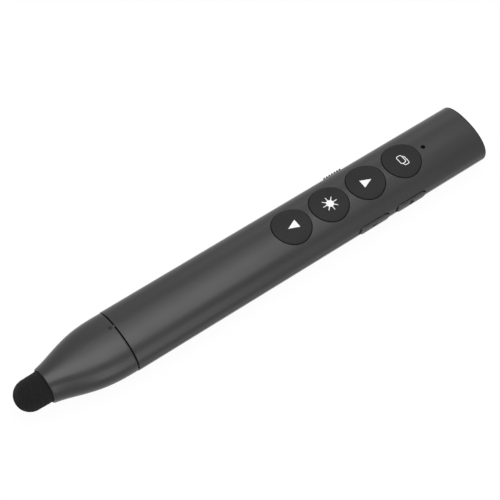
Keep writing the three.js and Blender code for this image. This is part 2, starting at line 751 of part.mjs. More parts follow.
// Four round buttons, each with its plunger and the push switch below it.
function addButtons() {
  const switchTop = boardTop + SWITCH_HEIGHT;
  const plungerTop = switchTop + PLUNGER_RISE;
  const flangeBottom = switchTop + BUTTON_FLANGE_LIFT;
  const hollowTop = BODY_HALF_HEIGHT - BUTTON_CROWN;
  const sky = BODY_HALF_HEIGHT + OVERRUN;
  const outside = prism(-BUTTON_PROUD, [seam, tail]);
  const underShell = prism(WALL + FIT_GAP, [seam, tail]);
  buttonPlaces.forEach((x, i) => {
    const crown = post(x, BUTTON_RADIUS, [flangeBottom, sky]).intersect(outside);
    const flange = post(x, BUTTON_RADIUS + BUTTON_FLANGE, [flangeBottom, sky]).intersect(underShell);
    const hollow = post(x, BUTTON_RADIUS - BUTTON_RIM, [flangeBottom - OVERRUN, hollowTop]);
    const boss = post(x, BUTTON_BOSS_RADIUS, [plungerTop, hollowTop + BUTTON_RIM], SMALL_SIDES);
    add(`button_${i + 1}`, crown.add(flange).subtract(hollow).add(boss), "button");

    const plungerSpan = [switchTop - PLUNGER_INSIDE, plungerTop];
    add(`button_plunger_${i + 1}`, post(x, PLUNGER_RADIUS, plungerSpan, SMALL_SIDES), "clear");

    const housing = block(around(x, SWITCH_SIZE), around(0, SWITCH_SIZE), [boardTop, switchTop]);
    const bore = post(
      x,
      PLUNGER_RADIUS + FIT_GAP,
      [switchTop - SWITCH_BORE_DEPTH, switchTop + OVERRUN],
      SMALL_SIDES,
    );
    add(`button_switch_${i + 1}`, housing.subtract(bore), "chip");
  });
}

// The sunk minus or plus sign on a volume key.
function keyMark(x, isPlus) {
  const ys = [-(BODY_HALF_WIDTH + OVERRUN), -(BODY_HALF_WIDTH + KEY_PROUD - KEY_MARK_DEPTH)];
  const level = block(around(x, KEY_MARK_LENGTH), ys, around(0, KEY_MARK_WIDTH));
  const upright = block(around(x, KEY_MARK_WIDTH), ys, around(0, KEY_MARK_LENGTH));
  return isPlus ? level.add(upright) : level;
}

// Two volume keys, each with its plunger and the side switch behind it.
function addVolumeKeys() {
  const outerFace = prism(-KEY_PROUD, [seam, tail]);
  const underShell = prism(WALL + FIT_GAP, [seam, tail]);
  const pocketMiddle = boardTop + SIDE_SWITCH_HEIGHT / 2;
  keyPlaces.forEach((x, i) => {
    const name = i === 0 ? "volume_down" : "volume_up";
    const ys = [-(BODY_HALF_WIDTH + OVERRUN), -keyInnerFace];
    const crown = acrossY(roundedOutline(x, 0, KEY_LENGTH, KEY_HEIGHT, KEY_HEIGHT), ys).intersect(outerFace);
    const flange = block(
      around(x, KEY_LENGTH + 2 * KEY_FLANGE_LENGTH),
      ys,
      around(0, 2 * KEY_FLANGE_HALF_HEIGHT),
    ).intersect(underShell);
    add(`${name}_key`, crown.add(flange).subtract(keyMark(x, i === 1)), "shell");

    const switchFace = -boardSide;
    add(
      `${name}_plunger`,
      block(
        around(x, SIDE_PLUNGER_LENGTH),
        [-keyInnerFace, switchFace + SIDE_PLUNGER_INSIDE],
        around(pocketMiddle, SIDE_PLUNGER_HEIGHT),
      ),
      "clear",
    );
    const housing = block(
      around(x, SIDE_SWITCH_LENGTH),
      [switchFace, switchFace + sideSwitchDepth],
      [boardTop, boardTop + SIDE_SWITCH_HEIGHT],
    );
    const pocket = block(
      around(x, SIDE_PLUNGER_LENGTH + 2 * FIT_GAP),
      [switchFace - OVERRUN, switchFace + SIDE_POCKET_DEPTH],
      around(pocketMiddle, SIDE_PLUNGER_HEIGHT + 2 * FIT_GAP),
    );
    add(`${name}_switch`, housing.subtract(pocket), "chip");
  });
}

// The ridged power slider, its actuator and the slide switch that it works.
function addPowerSlider() {
  const ys = [keyInnerFace, BODY_HALF_WIDTH + OVERRUN];
  const knob = block(around(SLIDER_PLACE, SLIDER_LENGTH), ys, around(0, SLIDER_HEIGHT)).intersect(
    prism(0, [seam, tail]),
  );
  const flange = block(
    around(SLIDER_PLACE, SLIDER_LENGTH + 2 * (SLIDER_TRAVEL + SLIDER_FLANGE_LENGTH)),
    ys,
    around(0, 2 * SLIDER_FLANGE_HALF_HEIGHT),
  ).intersect(prism(WALL + FIT_GAP, [seam, tail]));
  const ridgeFace = prism(-RIDGE_PROUD, [seam, tail]);
  const ridges = Array.from({ length: RIDGE_COUNT }, (_, i) => {
    const x = SLIDER_PLACE + (i - (RIDGE_COUNT - 1) / 2) * RIDGE_PITCH;
    return block(around(x, RIDGE_WIDTH), ys, around(0, SLIDER_HEIGHT)).intersect(ridgeFace);
  });
  add("power_slider", ridges.reduce((slider, ridge) => slider.add(ridge), knob.add(flange)), "shell");

  const switchFace = boardSide;
  const pocketMiddle = boardTop + SIDE_SWITCH_HEIGHT / 2;
  add(
    "slider_actuator",
    block(
      around(SLIDER_PLACE, ACTUATOR_LENGTH),
      [switchFace - SIDE_PLUNGER_INSIDE, keyInnerFace],
      around(pocketMiddle, SIDE_PLUNGER_HEIGHT),
    ),
    "clear",
  );
  const middle = SLIDER_PLACE + SLIDER_TRAVEL / 2;
  const housing = block(
    around(middle, SLIDE_SWITCH_LENGTH),
    [switchFace - sideSwitchDepth, switchFace],
    [boardTop, boardTop + SIDE_SWITCH_HEIGHT],
  );
  const pocket = block(
    around(middle, ACTUATOR_LENGTH + SLIDER_TRAVEL + 2 * FIT_GAP),
    [switchFace - SIDE_POCKET_DEPTH, switchFace + OVERRUN],
    around(pocketMiddle, SIDE_PLUNGER_HEIGHT + 2 * FIT_GAP),
  );
  add("slide_switch", housing.subtract(pocket), "steel");
}

// The status lamp on the board and the clear pipe that takes its light to the small hole in the top.
function addStatusLamp() {
  const lampTop = boardTop + LAMP_HEIGHT;
  add(
    "status_lamp",
    block(around(LAMP_PLACE, LAMP_LENGTH), around(0, 2 * LAMP_HALF_WIDTH), [boardTop, lampTop]),
    "clear",
  );
  const pipe = post(LAMP_PLACE, PIPE_RADIUS, [lampTop, BODY_HALF_HEIGHT], SMALL_SIDES);
  add("light_pipe", pipe.intersect(prism(WALL + FIT_GAP, [seam, tail])), "clear");
}

function addLaser() {
  const windowBack = capEnd - WINDOW_THICKNESS;
  const barrelBack = capEnd - CAP_FACE - FIT_GAP;
  const barrelFront = barrelBack - BARREL_LENGTH;
  const bore = BARREL_RADIUS - BARREL_WALL;
  const barrel = [
    [barrelFront, bore],
    [barrelFront, BARREL_RADIUS],
    [barrelBack, BARREL_RADIUS],
    [barrelBack, bore],
    [barrelFront, bore],
  ];
  add("laser_barrel", turned(barrel, laserHeight), "brass");

  const canRadius = bore - FIT_GAP;
  const diode = [
    [barrelFront - DIODE_FLANGE, 0],
    [barrelFront - DIODE_FLANGE, BARREL_RADIUS],
    [barrelFront, BARREL_RADIUS],
    [barrelFront, canRadius],
    [barrelFront + DIODE_LENGTH, canRadius],
    [barrelFront + DIODE_LENGTH, 0],
  ];
  add("laser_diode", turned(diode, laserHeight, SMALL_SIDES), "steel");

  const lensBack = barrelBack - LENS_SETBACK;
  add("laser_lens", rod([lensBack - LENS_THICKNESS, lensBack], canRadius, laserHeight, SMALL_SIDES), "glass");
  add("laser_window", rod([windowBack, capEnd], WINDOW_RADIUS, laserHeight), "glass");
}

// The rounded rim of the end cap, which covers the ends of the shells.
function capRim() {
  const step = section(CAP_RIM_STEP);
  const round = Array.from({ length: ROUND_STATIONS }, (_, i) => {
    const angle = ((i + 1) / ROUND_STATIONS) * (Math.PI / 2);
    return ring(
      capEnd - CAP_RIM_ROUND * (1 - Math.sin(angle)),
      section(CAP_RIM_STEP + CAP_RIM_ROUND * (1 - Math.cos(angle))),
    );
  });
  return loft([ring(tail + CAP_RIM_CLEARANCE, step), ring(capEnd - CAP_RIM_ROUND, step), ...round]);
}

// The tail's end cap, and the charging port behind its lower opening.
function addEndCap() {
  const inset = WALL + FIT_GAP;
  const flangeWidth = GROOVE_WIDTH - 2 * FIT_GAP;
  const barrelBack = capEnd - CAP_FACE;
  const portTop = boardTop + PORT_ABOVE_BOARD;
  const portMiddle = portTop - PORT_HEIGHT / 2;
  const portBack = capEnd - PORT_SETBACK;
  const portFront = portBack - PORT_LENGTH;
  const flange = prism(inset - GROOVE_DEPTH, around(capFront + CAP_FLANGE_PLACE, flangeWidth));
  const plug = prism(inset, [capFront, capEnd]).add(flange).add(capRim());
  const portOpening = roundedOutline(
    0,
    portMiddle,
    PORT_WIDTH + 2 * FIT_GAP,
    PORT_HEIGHT + 2 * FIT_GAP,
    PORT_HEIGHT,
  );
  const cuts = [
    rod([capFront - OVERRUN, barrelBack], BARREL_RADIUS + FIT_GAP, laserHeight),
    rod([barrelBack - OVERRUN, capEnd + OVERRUN], APERTURE_RADIUS, laserHeight),
    rod([capEnd - WINDOW_THICKNESS, capEnd + OVERRUN], WINDOW_RADIUS + FIT_GAP, laserHeight),
    alongX(portOpening, [capFront - OVERRUN, capEnd + OVERRUN]),
  ];
  add("end_cap", cuts.reduce((cap, cut) => cap.subtract(cut), plug), "cap");

  const can = alongX(roundedOutline(0, portMiddle, PORT_WIDTH, PORT_HEIGHT, PORT_HEIGHT), [portFront, portBack]);
  const mouth = alongX(
    roundedOutline(0, portMiddle, PORT_WIDTH - 2 * PORT_SHEET, PORT_HEIGHT - 2 * PORT_SHEET, PORT_HEIGHT),
    [portFront + PORT_SHEET, portBack + OVERRUN],
  );
  const tongue = block(
    [portFront, portFront + PORT_TONGUE_LENGTH],
    around(0, PORT_TONGUE_WIDTH),
    around(portMiddle, PORT_TONGUE_THICKNESS),
  );
  add("charging_port", can.subtract(mouth).add(tongue), "steel");
}

addShells();
addFeet();
addNoseCap();
addStylusTip();
addSpigot();
addReceiver();
addBattery();
addBoard();
addButtons();
addVolumeKeys();
addPowerSlider();
addStatusLamp();
addLaser();
addEndCap();

pen.position.set(-(tipEnd + capEnd) / 2, 0, belly + FOOT_PROUD);

const laserPointer = new THREE.Group();
laserPointer.add(pen);

export default laserPointer;
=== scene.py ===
"""The looks of a pen-shaped laser pointer with a knitted tip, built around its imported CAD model.

Every length is in metres, in the CAD model's own frame: X runs from the stylus tip to the laser
window, Y points to the power slider and Z is up. Places come from the boxes of the CAD nodes, so
that each piece sits where its solid is.
"""

from __future__ import annotations

import logging
import math
from contextlib import contextmanager
from dataclasses import dataclass, field, replace
from enum import Enum
from typing import Callable, ClassVar, Iterator, Sequence

import bmesh
import bpy
from mathutils import Matrix, Vector, noise

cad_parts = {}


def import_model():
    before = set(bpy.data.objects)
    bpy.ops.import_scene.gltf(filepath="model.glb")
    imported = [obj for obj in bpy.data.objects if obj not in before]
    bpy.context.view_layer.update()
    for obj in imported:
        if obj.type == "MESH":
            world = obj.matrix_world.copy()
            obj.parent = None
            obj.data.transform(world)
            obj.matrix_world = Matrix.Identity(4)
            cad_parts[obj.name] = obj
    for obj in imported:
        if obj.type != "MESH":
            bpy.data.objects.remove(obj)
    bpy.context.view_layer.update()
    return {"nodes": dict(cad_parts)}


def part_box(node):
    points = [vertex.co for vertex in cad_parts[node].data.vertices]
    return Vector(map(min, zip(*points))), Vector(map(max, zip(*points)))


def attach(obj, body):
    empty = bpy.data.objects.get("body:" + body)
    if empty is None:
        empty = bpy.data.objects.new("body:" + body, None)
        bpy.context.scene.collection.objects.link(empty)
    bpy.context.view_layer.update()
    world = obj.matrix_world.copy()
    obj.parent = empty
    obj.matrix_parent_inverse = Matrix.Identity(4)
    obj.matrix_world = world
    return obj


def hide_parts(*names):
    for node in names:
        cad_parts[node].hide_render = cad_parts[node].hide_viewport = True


LOG = logging.getLogger("laser_pointer")

MM = 0.001
# Places nearer than these are one place: SAME on a mesh as it was drawn, NEAR after a bevel or
# a cut.
SAME = 1e-7
NEAR = 1e-6
# A round corner is made a hair smaller than asked, so that a half-round end never crosses itself.
JUST_UNDER = 0.9999

Colour = tuple[float, float, float]
Span = tuple[float, float]
Pair = tuple[float, float]
Ring = list[Vector]
Piece = bpy.types.Object
Node = bpy.types.Node
Socket = bpy.types.NodeSocket


class Body(str, Enum):
    """The moving bodies of the part."""

    SHELL = "body"
    NOSE = "nose"
    RECEIVER = "receiver"
    BACK = "back_button"
    LASER = "laser_button"
    FORWARD = "forward_button"
    WINDOW = "window_button"
    VOLUME_DOWN = "volume_down"
    VOLUME_UP = "volume_up"
    SLIDER = "slider"


class Axis(Enum):
    """The three directions, by their index in a place."""

    X = 0
    Y = 1
    Z = 2


class Element(Enum):
    """The kinds of mesh element that edit mode selects, by their name in a mesh."""

    VERT = "verts"
    EDGE = "edges"
    FACE = "faces"


class Symbol(Enum):
    """The signs printed on the round buttons, from the tip to the tail."""

    TRIANGLE_BACK = "triangle_back"
    SUN = "sun"
    TRIANGLE_FORWARD = "triangle_forward"
    WINDOWS = "windows"


# -------------------------------------------------------------------------------------------------
# Modelling with Blender's own tools
# -------------------------------------------------------------------------------------------------


def start_piece(name: str, primitive: Callable[..., set[str]], **values: object) -> Piece:
    """Deselect everything and add a primitive.

    Args:
        name: The new piece's name.
        primitive: The operator that adds it.
        values: The operator's own values.

    Returns:
        The new piece.
    """
    bpy.ops.object.select_all(action="DESELECT")
    primitive(**values)
    piece = bpy.context.active_object
    piece.name = name
    return piece


def make_active(piece: Piece) -> None:
    """Deselect everything, then select one piece and make it the active one.

    Args:
        piece: The piece to work on.
    """
    bpy.ops.object.select_all(action="DESELECT")
    piece.select_set(True)
    bpy.context.view_layer.objects.active = piece


@contextmanager
def editing(piece: Piece, element: Element = Element.VERT) -> Iterator[None]:
    """Hold a piece in edit mode with nothing selected.

    Args:
        piece: The piece to edit.
        element: The kind of element that is selected.

    Yields:
        Nothing. Edit mode ends with the block.
    """
    make_active(piece)
    bpy.ops.object.mode_set(mode="EDIT")
    bpy.ops.mesh.select_mode(type=element.name)
    bpy.ops.mesh.select_all(action="DESELECT")
    try:
        yield
    finally:
        bpy.ops.object.mode_set(mode="OBJECT")


def pick(piece: Piece, element: Element, wanted: Callable[..., bool]) -> None:
    """Select, in edit mode, the edges or faces whose corners pass a test, and nothing else.

    Args:
        piece: The piece in edit mode.
        element: EDGE or FACE.
        wanted: Takes the places of the corners, two of an edge or all of a face.
    """
    bpy.ops.mesh.select_all(action="DESELECT")
    mesh = bmesh.from_edit_mesh(piece.data)
    for found in getattr(mesh, element.value):
        if wanted(*(corner.co for corner in found.verts)):
            found.select = True
    mesh.select_flush_mode()
    bmesh.update_edit_mesh(piece.data)


def face_outwards() -> None:
    """Turn all faces of the mesh in edit mode outwards."""
    bpy.ops.mesh.select_all(action="SELECT")
    bpy.ops.mesh.normals_make_consistent(inside=False)


def shift_points(piece: Piece, move: Callable[[Vector], Vector]) -> None:
    """Move every point of a piece to a place that is worked out from where it is.

    Args:
        piece: The piece, in object mode.
        move: Takes a point's place and gives its new one.
    """
    for vertex in piece.data.vertices:
        vertex.co = move(vertex.co.copy())
    piece.data.update()


def apply_place(piece: Piece) -> None:
    """Put a piece's place, turn and scale into its mesh."""
    make_active(piece)
    bpy.ops.object.transform_apply(location=True, rotation=True, scale=True)


def apply_modifiers(piece: Piece) -> None:
    """Apply every modifier of a piece, in order.

    Args:
        piece: The piece, in object mode.
    """
    make_active(piece)
    for modifier in list(piece.modifiers):
        bpy.ops.object.modifier_apply(modifier=modifier.name)


def cut(piece: Piece, cutters: Sequence[Piece]) -> None:
    """Cut others out of a piece. They are used up.

    Args:
        piece: The piece that is changed.
        cutters: The closed solids that are cut out of it.
    """
    for cutter in cutters:
        modifier = piece.modifiers.new("cut", "BOOLEAN")
        modifier.operation = "DIFFERENCE"
        modifier.solver = "EXACT"
        modifier.object = cutter
        apply_modifiers(piece)
        bpy.data.objects.remove(cutter)


def gather(name: str, parts: Sequence[Piece]) -> Piece:
    """Join several meshes into one piece without cutting them.

    Args:
        name: The name of the joined piece.
        parts: The meshes to join.

    Returns:
        The joined piece.
    """
    make_active(parts[0])
    for part in parts[1:]:
        part.select_set(True)
    bpy.ops.object.join()
    joined = bpy.context.view_layer.objects.active
    joined.name = name
    return joined


def twin(piece: Piece, name: str, offset: Vector) -> Piece:
    """Copy a finished mesh to another place.

    Args:
        piece: The piece that is copied.
        name: The copy's name.
        offset: How far the copy is moved.

    Returns:
        The copy, with a mesh of its own.
    """
    copy = piece.copy()
    copy.data = piece.data.copy()
    copy.name = name
    bpy.context.scene.collection.objects.link(copy)
    shift_points(copy, lambda place: place + offset)
    return copy


def smooth(piece: Piece, sharp_from: float) -> None:
    """Shade a piece smooth, apart from sharp edges, and let its large faces lead the shading.

    Args:
        piece: The piece.
        sharp_from: The angle in degrees from which an edge stays sharp.
    """
    make_active(piece)
    bpy.ops.object.shade_smooth_by_angle(angle=math.radians(sharp_from))
    weighted = piece.modifiers.new("weighted", "WEIGHTED_NORMAL")
    weighted.keep_sharp = True
    apply_modifiers(piece)


def loft(name: str, rings: Sequence[Ring], closed: bool = False) -> Piece:
    """Extrude a circle of points from ring to ring.

    Args:
        name: The name of the piece.
        rings: Rings with the same number of points, from one end of the skin to the other.
        closed: Whether the last ring meets the first, as on a tube with a wall.

    Returns:
        A closed skin. Open ends are filled flat.
    """
    piece = start_piece(name, bpy.ops.mesh.primitive_circle_add, vertices=len(rings[0]), radius=MM)
    with editing(piece):
        mesh = bmesh.from_edit_mesh(piece.data)
        slots = mesh.verts.layers.int.new("slot")
        for index, vertex in enumerate(mesh.verts):
            vertex[slots] = index
            vertex.co = rings[0][index]
        bpy.ops.mesh.select_all(action="SELECT")
        for ring in rings[1:]:
            bpy.ops.mesh.extrude_edges_move()
            mesh = bmesh.from_edit_mesh(piece.data)
            slots = mesh.verts.layers.int["slot"]
            for vertex in mesh.verts:
                if vertex.select:
                    vertex.co = ring[vertex[slots]]
        bmesh.update_edit_mesh(piece.data)
        bpy.ops.mesh.select_all(action="SELECT")
        bpy.ops.mesh.remove_doubles(threshold=SAME)
        if not closed:
            bpy.ops.mesh.select_all(action="DESELECT")
            bpy.ops.mesh.select_mode(type="EDGE")
            bpy.ops.mesh.select_non_manifold()
            bpy.ops.mesh.fill_holes(sides=0)
        face_outwards()
    return piece


def turned(name: str, profile: Sequence[Pair], height: float, sides: int) -> Piece:
    """Turn a profile on an axis along X.

    Args:
        name: The name of the piece.
        profile: Pairs of a place along X and a radius.
        height: The height of the axis.
        sides: How many points each ring has.

    Returns:
        The turned piece.
    """
    angles = [2 * math.pi * i / sides for i in range(sides)]
    rings = [
        [Vector((x, r * math.cos(a), height + r * math.sin(a))) for a in angles] for x, r in profile
    ]
    return loft(name, rings)


def rod(name: str, reach: Span, radius: float, height: float, sides: int) -> Piece:
    """Lay a round solid along X.

    Args:
        name: The name of the piece.
        reach: Where it starts and where it ends.
        radius: Its radius.
        height: The height of its axis.
        sides: How many sides it has.

    Returns:
        The solid.
    """
    start, end = reach
    return turned(name, [(start, 0), (start, radius), (end, radius), (end, 0)], height, sides)


def post(name: str, x: float, radius: float, rise: Span, sides: int) -> Piece:
    """Stand an upright round solid on the pen's middle line.

    Args:
        name: The name of the piece.
        x: Its place along the pen.
        radius: Its radius.
        rise: Its lowest and highest place.
        sides: How many sides it has.

    Returns:
        The solid.
    """
    piece = start_piece(
        name,
        bpy.ops.mesh.primitive_cylinder_add,
        vertices=sides,
        radius=radius,
        depth=rise[1] - rise[0],
        location=(x, 0, (rise[0] + rise[1]) / 2),
    )
    apply_place(piece)
    return piece


def rounded_block(
    name: str,
    low: Vector,
    high: Vector,
    axis: Axis = Axis.Z,
    corner: float = 0.0,
    edge: float = 0.0,
    steps: int = 4,
) -> Piece:
    """Make a block whose outline has round corners and whose end faces have soft edges.

    Args:
        name: The name of the piece.
        low: Its lowest corner.
        high: Its highest corner.
        axis: The direction that the outline is carried along.
        corner: The radius of the outline's corners.
        edge: The radius of the edges of the two end faces.
        steps: How many faces round a soft edge. A corner gets three times as many.

    Returns:
        The block.
    """
    size = high - low
    cube = bpy.ops.mesh.primitive_cube_add
    piece = start_piece(name, cube, size=1, location=(low + high) / 2, scale=size)
    apply_place(piece)
    way = axis.value

    def on_end(a: Vector, b: Vector) -> bool:
        """Whether an edge lies in one of the two end faces."""
        flat = abs((b - a)[way]) < SAME
        return flat and min(abs(a[way] - low[way]), abs(a[way] - high[way])) < SAME

    with editing(piece, Element.EDGE):
        if corner:
            pick(piece, Element.EDGE, lambda a, b: abs((b - a)[way]) > size[way] / 2)
            bpy.ops.mesh.bevel(offset=corner * JUST_UNDER, segments=3 * steps, clamp_overlap=False)
            bpy.ops.mesh.select_all(action="SELECT")
            bpy.ops.mesh.remove_doubles(threshold=NEAR)
        if edge:
            pick(piece, Element.EDGE, on_end)
            bpy.ops.mesh.bevel(offset=edge, segments=steps, clamp_overlap=False)
        face_outwards()
    return piece


def slice_along(piece: Piece, axis: Axis, places: Sequence[float]) -> None:
    """Cut more lines into a mesh, so that it can follow a curve.

    Args:
        piece: The piece that gets more lines.
        axis: The axis that the cutting planes are square to.
        places: Where the planes lie on it.
    """
    normal = Vector((0, 0, 0))
    normal[axis.value] = 1
    with editing(piece):
        for place in places:
            bpy.ops.mesh.select_all(action="SELECT")
            bpy.ops.mesh.bisect(plane_co=normal * place, plane_no=normal)


def spread(low: float, high: float, count: int) -> list[float]:
    """Places at an even pitch from low to high, both included."""
    return [low + (high - low) * i / (count - 1) for i in range(count)]


def middle_of(node: str, axis: Axis = Axis.X) -> float:
    """Where the middle of a CAD node's box lies on an axis."""
    low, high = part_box(node)
    return (low[axis.value] + high[axis.value]) / 2


# -------------------------------------------------------------------------------------------------
# Effects that several finishes share, as shader node groups
# -------------------------------------------------------------------------------------------------


class Wiring:
    """A small helper that adds and joins nodes in one node tree."""

    def __init__(self, tree: bpy.types.NodeTree) -> None:
        """Keep the tree that nodes are added to."""
        self.tree = tree

    def add(self, kind: str, **values: object) -> Node:
        """Add a node and set its own properties.

        Args:
            kind: The node's type name.
            values: Properties of the node by name.

        Returns:
            The new node.
        """
        node = self.tree.nodes.new(kind)
        for name, value in values.items():
            setattr(node, name, value)
        return node

    def feed(self, node: Node, values: dict[str | int, Socket | float | Sequence[float]]) -> Node:
        """Link or set a node's inputs.

        Args:
            node: The node.
            values: A socket to link or a value to set, by the input's name or number.

        Returns:
            The same node.
        """
        for key, value in values.items():
            if isinstance(value, Socket):
                self.tree.links.new(value, node.inputs[key])
            else:
                node.inputs[key].default_value = value
        return node

    def here(self) -> Socket:
        """The place on the piece, in its own coordinates."""
        return self.add("ShaderNodeTexCoord").outputs["Object"]

    def noise(self, place: Socket, scale: Socket | float, **inputs: float) -> Socket:
        """Add a Noise Texture that is read at a place, and give its value."""
        node = self.add("ShaderNodeTexNoise")
        return self.feed(node, {"Vector": place, "Scale": scale, **inputs}).outputs["Fac"]

    def math(self, operation: str, *terms: Socket | float) -> Socket:
        """Add a Math node on one to three sockets or numbers, and give its result."""
        node = self.add("ShaderNodeMath", operation=operation)
        return self.feed(node, dict(enumerate(terms))).outputs[0]

    def remap(self, value: Socket, source: Span, target: Span = (0.0, 1.0)) -> Socket:
        """Add a clamped Map Range node.

        Args:
            value: What is mapped.
            source: Its range.
            target: The new range.

        Returns:
            The mapped value.
        """
        node = self.add("ShaderNodeMapRange", clamp=True)
        limits = dict(zip(("From Min", "From Max", "To Min", "To Max"), (*source, *target)))
        return self.feed(node, {"Value": value, **limits}).outputs["Result"]

    def between(self, share: Socket, low: Socket, high: Socket) -> Socket:
        """Go from a low to a high value by a share."""
        return self.math("MULTIPLY_ADD", share, self.math("SUBTRACT", high, low), low)


class Effect:
    """A shader node group that is built once and placed in several materials."""

    name = "effect"
    inputs: dict[str, float] = {}
    outputs: tuple[str, ...] = ()
    contrast: Span = (0.3, 0.7)

    def group(self) -> bpy.types.NodeTree:
        """Build the node group when it is first asked for.

        Returns:
            The node group.
        """
        found = bpy.data.node_groups.get(self.name)
        if found:
            return found
        tree = bpy.data.node_groups.new(self.name, "ShaderNodeTree")
        for name, value in self.inputs.items():
            socket = tree.interface.new_socket(
                name=name, in_out="INPUT", socket_type="NodeSocketFloat"
            )
            socket.default_value = value
        for name in self.outputs:
            tree.interface.new_socket(name=name, in_out="OUTPUT", socket_type="NodeSocketFloat")
        wiring = Wiring(tree)
        made = self.build(wiring, wiring.add("NodeGroupInput").outputs)
        wiring.feed(wiring.add("NodeGroupOutput"), made)
        return tree

    def build(self, wiring: Wiring, source: bpy.types.NodeOutputs) -> dict[str, Socket]:
        """Wire the group's inside, from its inputs to what its outputs get, both by name."""
        raise NotImplementedError

    def place(self, wiring: Wiring, **values: float) -> bpy.types.NodeOutputs:
        """Place the group in a material with its own values.

        Args:
            wiring: The material's wiring.
            values: Input values, by the input's name with _ for a space.

        Returns:
            The group's outputs, by name.
        """
        node = wiring.add("ShaderNodeGroup", node_tree=self.group())
        named = {name.replace("_", " "): value for name, value in values.items()}
        return wiring.feed(node, named).outputs


class MouldedGrain(Effect):
    """Fine pebbled grain, as on eroded moulds and sprayed paint, with a slow unevenness over it."""

    name = "moulded_grain"
    inputs = {"Scale": 6000.0, "Softness": 0.5}
    outputs = ("Height", "Speckle", "Cloud")
    contrast = (0.35, 0.65)
    pebble_share = 0.6
    cloud_scale = 70.0

    def build(self, wiring: Wiring, source: bpy.types.NodeOutputs) -> dict[str, Socket]:
        """Mix two sizes of noise into a height, a fine speckle and a slow cloud.

        Args:
            wiring: The group's wiring.
            source: The group's inputs, by name.

        Returns:
            The height, the speckle and the cloud.
        """
        place = wiring.here()
        fine = wiring.noise(place, source["Scale"], Detail=3.0, Roughness=0.6)
        cells = wiring.feed(
            wiring.add("ShaderNodeTexVoronoi", feature="SMOOTH_F1"),
            {"Vector": place, "Scale": source["Scale"], "Smoothness": source["Softness"]},
        )
        slow = wiring.noise(place, self.cloud_scale, Detail=4.0)
        return {
            "Height": wiring.math(
                "MULTIPLY_ADD", cells.outputs["Distance"], self.pebble_share, fine
            ),
            "Speckle": wiring.remap(fine, self.contrast),
            "Cloud": wiring.remap(slow, self.contrast),
        }


class HandlingMarks(Effect):
    """Soft smears and fine scratches that a much-held surface has, as a roughness."""

    name = "handling_marks"
    inputs = {"Clean": 0.4, "Worn": 0.5, "Scale": 60.0}
    outputs = ("Roughness",)

    def build(self, wiring: Wiring, source: bpy.types.NodeOutputs) -> dict[str, Socket]:
        """Spread the roughness between its clean and its worn value.

        Args:
            wiring: The group's wiring.
            source: The group's inputs, by name.

        Returns:
            The roughness.
        """
        smear = wiring.noise(wiring.here(), source["Scale"], Detail=5.0, Distortion=0.6)
        share = wiring.remap(smear, self.contrast)
        return {"Roughness": wiring.between(share, source["Clean"], source["Worn"])}


class BrushedStreaks(Effect):
    """Fine streaks along X, as left by drawing or brushing a metal sheet."""

    name = "brushed_streaks"
    inputs = {"Scale": 900.0, "Low": 0.2, "High": 0.42}
    outputs = ("Height", "Roughness")
    squeeze = (0.04, 1.0, 1.0)

    def build(self, wiring: Wiring, source: bpy.types.NodeOutputs) -> dict[str, Socket]:
        """Stretch a noise along X.

        Args:
            wiring: The group's wiring.
            source: The group's inputs, by name.

        Returns:
            The height and the roughness.
        """
        stretch = wiring.feed(
            wiring.add("ShaderNodeMapping"), {"Vector": wiring.here(), "Scale": self.squeeze}
        )
        lines = wiring.noise(stretch.outputs["Vector"], source["Scale"], Detail=4.0)
        share = wiring.remap(lines, self.contrast)
        return {"Height": lines, "Roughness": wiring.between(share, source["Low"], source["High"])}


class KnitRows(Effect):
    """Rows of small knitted loops round an axis along X."""

    name = "knit_rows"
    inputs = {"Axis Height": 0.0065, "Wales": 60.0, "Row Pitch": 0.00035}
    outputs = ("Height", "Thread")
    slant = 1.6
    gap_share = 0.35
    loop_span = (-1.2, 1.2)
    fuzz_scale = 5200.0
    fuzz_share = 0.5
    fuzz_light = (0.55, 1.0)

    def build(self, wiring: Wiring, source: bpy.types.NodeOutputs) -> dict[str, Socket]:
        """Lay out slanting loops from the angle round the axis and the place along it.

        Args:
            wiring: The group's wiring.
            source: The group's inputs, by name.

        Returns:
            The height, and a colour mask that is painted shade in the low gaps between loops, times
            a random fuzz tone.
        """
        here = wiring.here()
        place = wiring.feed(wiring.add("ShaderNodeSeparateXYZ"), {0: here}).outputs
        lifted = wiring.math("SUBTRACT", place["Z"], source["Axis Height"])
        turn = wiring.math("DIVIDE", wiring.math("ARCTAN2", lifted, place["Y"]), 2 * math.pi)
        wale = wiring.math("FRACT", wiring.math("MULTIPLY", turn, source["Wales"]))
        row = wiring.math("DIVIDE", place["X"], source["Row Pitch"])
        # Each loop is a V: its two legs lean towards the middle of the wale.
        across = wiring.math("ABSOLUTE", wiring.math("SUBTRACT", wale, 0.5))
        slanted = wiring.math("MULTIPLY_ADD", across, self.slant, row)
        along = wiring.math("SINE", wiring.math("MULTIPLY", slanted, 2 * math.pi))
        gap = wiring.math("COSINE", wiring.math("MULTIPLY", across, 4 * math.pi))
        legs = wiring.math("MULTIPLY_ADD", gap, -self.gap_share, along)
        loops = wiring.remap(legs, self.loop_span)
        fuzz = wiring.noise(here, self.fuzz_scale, Detail=2.0)
        light = wiring.remap(fuzz, self.contrast, self.fuzz_light)
        # The second output is the colour mask: it follows the loops' height, so the gaps between
        # loops get painted shade, times the fuzz's random tone.
        return {
            "Height": wiring.math("MULTIPLY_ADD", fuzz, self.fuzz_share, loops),
            "Thread": wiring.math("MULTIPLY", loops, light),
        }


GRAIN = MouldedGrain()
MARKS = HandlingMarks()
STREAKS = BrushedStreaks()
KNIT = KnitRows()


# -------------------------------------------------------------------------------------------------
# Finishes
# -------------------------------------------------------------------------------------------------


